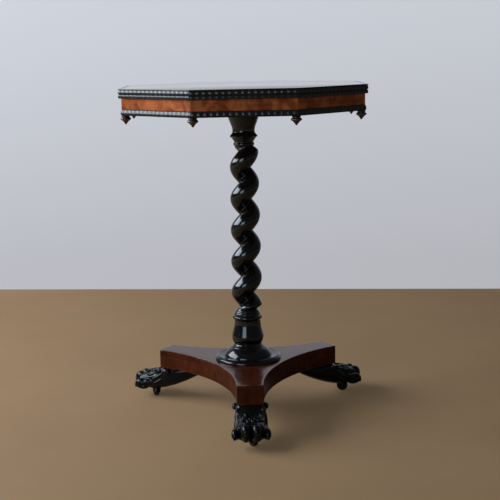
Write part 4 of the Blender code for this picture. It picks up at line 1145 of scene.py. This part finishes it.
def make_castors():
    plate, fork = castor_plate_form(), castor_fork_form()
    axle, wheel = castor_axle_form(), castor_wheel_form()
    screw = screw_form(0.0024, 0.0016)
    for index, (arm, heading) in enumerate(zip(ARM_ANGLES, CASTOR_HEADINGS)):
        number = index + 1
        pivot = Matrix.Translation((SWIVEL_DISTANCE * math.cos(arm), SWIVEL_DISTANCE * math.sin(arm), 0))
        swing = pivot @ Matrix.Rotation(heading, 4, "Z")
        hub = swing @ Matrix.Translation((TRAIL, 0, WHEEL_RADIUS))
        rows = (
            ("castor_plate", plate, pivot, CASTOR_BRASS, "castor_brass", "table"),
            ("castor_fork", fork, swing, CASTOR_BRASS, "castor_brass", f"castor_swivel_{number}"),
            ("castor_axle", axle, hub, AXLE_STEEL, "axle_steel", f"castor_swivel_{number}"),
            ("castor_wheel", wheel, hub, CASTOR_BRASS, "castor_brass", f"castor_roller_{number}"),
        )
        for name, form, place, finish, slot, body in rows:
            made = form.copy()
            bmesh.ops.transform(made, matrix=place, verts=made.verts)
            piece(f"{name}_{number}_fine", made, finish, f"{name}_{number}", body, 40)
        for turn in range(3):
            made = screw.copy()
            spot = pivot @ Matrix.Rotation(arm + turn * TURN / 3, 4, "Z") @ Matrix.Translation((0.0148, 0, PLATE_HIGH.z - 0.0025))
            bmesh.ops.transform(made, matrix=spot @ Matrix.Rotation(0.7 * turn, 4, "Z"), verts=made.verts)
            piece(f"castor_screw_{number}_{turn + 1}", made, SCREW_BRASS, None)


def make_bearer_screws():
    """Screws through the bearer into the top."""
    low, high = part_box("top_bearer")
    screw = screw_form(0.0042, 0.0026)
    spots = [(x, y) for x in (-0.19, -0.075, 0.075, 0.19) for y in (-0.030, 0.030)]
    for index, (x, y) in enumerate(spots):
        made = screw.copy()
        place = Matrix.Translation((x, y, low.z)) @ Matrix.Rotation(0.9 * index, 4, "Z")
        bmesh.ops.transform(made, matrix=place, verts=made.verts)
        piece(f"bearer_screw_{index + 1}", made, SCREW_BRASS, None)


def dress_plain_nodes():
    """The inner pieces keep their solids and get their own unpolished wood."""
    finishes = {"top_bearer": DEAL, "top_wedge": OAK, "foot_wedge": OAK}
    finishes.update({f"foot_dowel_{number}": OAK_UPRIGHT for number in (1, 2, 3)})
    for name, finish in finishes.items():
        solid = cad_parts[name]
        solid.data.materials.clear()
        solid.data.materials.append(finish)


# Camera, light and stage


def make_camera():
    """A long lens a little above the top, looking down about ten degrees."""
    data = bpy.data.cameras.new("camera")
    data.sensor_width = 36.0
    data.lens = 82.93
    camera = bpy.data.objects.new("camera", data)
    stand = Matrix.Rotation(math.radians(-0.8), 4, "Z") @ Matrix.Translation((0.0088, -2.527, 0.8073))
    tilt = Matrix.Rotation(math.radians(90 - 9.919), 4, "X") @ Matrix.Rotation(math.radians(-1.169), 4, "Z")
    camera.matrix_world = stand @ tilt
    bpy.context.scene.collection.objects.link(camera)
    bpy.context.scene.camera = camera


def make_lamp(name, place, aim, width, height, power, colour):
    data = bpy.data.lights.new(name, "AREA")
    data.shape = "RECTANGLE"
    data.size = width
    data.size_y = height
    data.energy = power
    data.color = colour
    lamp = bpy.data.objects.new(name, data)
    lamp.location = place
    lamp.rotation_euler = (Vector(aim) - Vector(place)).to_track_quat("-Z", "Y").to_euler()
    bpy.context.scene.collection.objects.link(lamp)


def seen_rays(tree):
    """The rays that show the backdrop: straight to the camera, or by way of polish or glass."""
    rays = put(tree, "ShaderNodeLightPath").outputs
    both = maths(tree, "ADD", rays["Is Camera Ray"], rays["Is Glossy Ray"])
    return maths(tree, "ADD", both, rays["Is Transmission Ray"], True)


def straight_rays(tree, share):
    """A share that counts in full for rays straight to the camera."""
    return maths(tree, "MAXIMUM", put(tree, "ShaderNodeLightPath").outputs["Is Camera Ray"], share)


DAYLIGHT = (0.80, 0.90, 1.0)
SKYLIGHT = (0.62, 0.81, 1.0)


def make_light():
    """Two tall windows along the left-hand wall of a dim room."""
    make_lamp("side_window", (-2.4, 0.15, 1.58), (0, 0.10, 0.75), 2.6, 1.4, 112, DAYLIGHT)
    make_lamp("front_window", (-1.45, -2.82, 0.95), (0, 0, 0.35), 1.5, 1.10, 25, SKYLIGHT)
    world = bpy.data.worlds.new("room")
    world.use_nodes = True
    tree = world.node_tree
    facing = put(tree, "ShaderNodeSeparateXYZ", Vector=put(tree, "ShaderNodeTexCoord").outputs["Generated"])
    behind = straight_rays(tree, spread(tree, facing.outputs["Y"], 0.5, 0.95))
    shown = blend_colour(tree, behind, (0.080, 0.085, 0.095, 1), (0.50, 0.52, 0.57, 1))
    colour = blend_colour(tree, seen_rays(tree), (0.088, 0.092, 0.100, 1), shown)
    tree.links.new(colour, tree.nodes["Background"].inputs["Color"])
    bpy.context.scene.world = world


def one_sided(tree, shader):
    """A surface seen from its front only."""
    clear = tree.nodes.new("ShaderNodeBsdfTransparent")
    chosen = tree.nodes.new("ShaderNodeMixShader")
    behind = tree.nodes.new("ShaderNodeNewGeometry").outputs["Backfacing"]
    tree.links.new(behind, chosen.inputs[0])
    tree.links.new(shader.outputs[0], chosen.inputs[1])
    tree.links.new(clear.outputs[0], chosen.inputs[2])
    tree.links.new(chosen.outputs[0], tree.nodes["Material Output"].inputs["Surface"])


WALL_DISTANCE = 1.32
WALL_TURN = math.radians(-6)


def make_stage():
    """A plain pale floor and, behind the table, a plain pale wall."""
    made, tree, shader = new_finish("pale_floor")
    place = put(tree, "ShaderNodeTexCoord").outputs["Object"]
    mottle = spread(tree, speckle(tree, place, 3.0, 4.0, 0.55), 0.3, 0.7)
    pale = blend_colour(tree, mottle, (0.33, 0.215, 0.122, 1), (0.37, 0.248, 0.146, 1))
    warm = blend_colour(tree, mottle, (0.248, 0.136, 0.059, 1), (0.278, 0.157, 0.070, 1))
    direct = put(tree, "ShaderNodeLightPath").outputs["Is Camera Ray"]
    tree.links.new(blend_colour(tree, direct, pale, warm), shader.inputs["Base Color"])
    away = put(tree, "ShaderNodeVectorMath", {"operation": "LENGTH"}, Vector=place).outputs["Value"]
    far = maths(tree, "MULTIPLY", spread(tree, away, 1.4, 4.0), seen_rays(tree))
    near = blend_colour(tree, direct, (0, 0, 0, 1), (0.052, 0.038, 0.022, 1))
    tree.links.new(blend_colour(tree, far, near, (0.30, 0.245, 0.190, 1)), shader.inputs["Emission Color"])
    shader.inputs["Emission Strength"].default_value = 1.0
    shader.inputs["Roughness"].default_value = 0.8
    one_sided(tree, shader)
    bm = bmesh.new()
    bmesh.ops.create_grid(bm, x_segments=1, y_segments=1, size=6.0, matrix=Matrix.Translation((0, 0, 0)))
    floor = bpy.data.objects.new("floor", mesh_from(bm, "floor"))
    floor.data.materials.append(made)

    made, tree, shader = new_finish("pale_wall")
    place = put(tree, "ShaderNodeTexCoord").outputs["Object"]
    spot = put(tree, "ShaderNodeSeparateXYZ", Vector=place).outputs
    glow = blend_colour(tree, spread(tree, spot["Z"], 0.1, 1.5), (0.43, 0.435, 0.465, 1), (0.615, 0.645, 0.705, 1))
    near = spread(tree, maths(tree, "ABSOLUTE", spot["X"]), 0.80, 1.30, 1.0, 0.0)
    glow = blend_colour(tree, straight_rays(tree, near), (0.080, 0.085, 0.095, 1), glow)
    tree.links.new(blend_colour(tree, seen_rays(tree), (0, 0, 0, 1), glow), shader.inputs["Emission Color"])
    shader.inputs["Emission Strength"].default_value = 1.0
    shader.inputs["Base Color"].default_value = (0.07, 0.07, 0.077, 1)
    shader.inputs["Roughness"].default_value = 0.9
    one_sided(tree, shader)
    bm = bmesh.new()
    upright = Matrix.Translation((0, WALL_DISTANCE, 2.0)) @ Matrix.Rotation(WALL_TURN, 4, "Z")
    upright = upright @ Matrix.Rotation(math.pi / 2, 4, "X")
    bmesh.ops.create_grid(bm, x_segments=1, y_segments=1, size=1.0, matrix=upright @ Matrix.Diagonal((6, 2, 1, 1)))
    wall = bpy.data.objects.new("wall", mesh_from(bm, "wall"))
    wall.data.materials.append(made)

    for part in (floor, wall):
        bpy.context.scene.collection.objects.link(part)


make_camera()
make_top()
make_top_moulding()
make_frieze()
make_base_moulding()
make_pendants()
make_column()
make_socle_disc()
make_platform()
make_feet()
make_castors()
make_bearer_screws()
dress_plain_nodes()
make_light()
make_stage()
bpy.context.scene.view_settings.view_transform = "Standard"
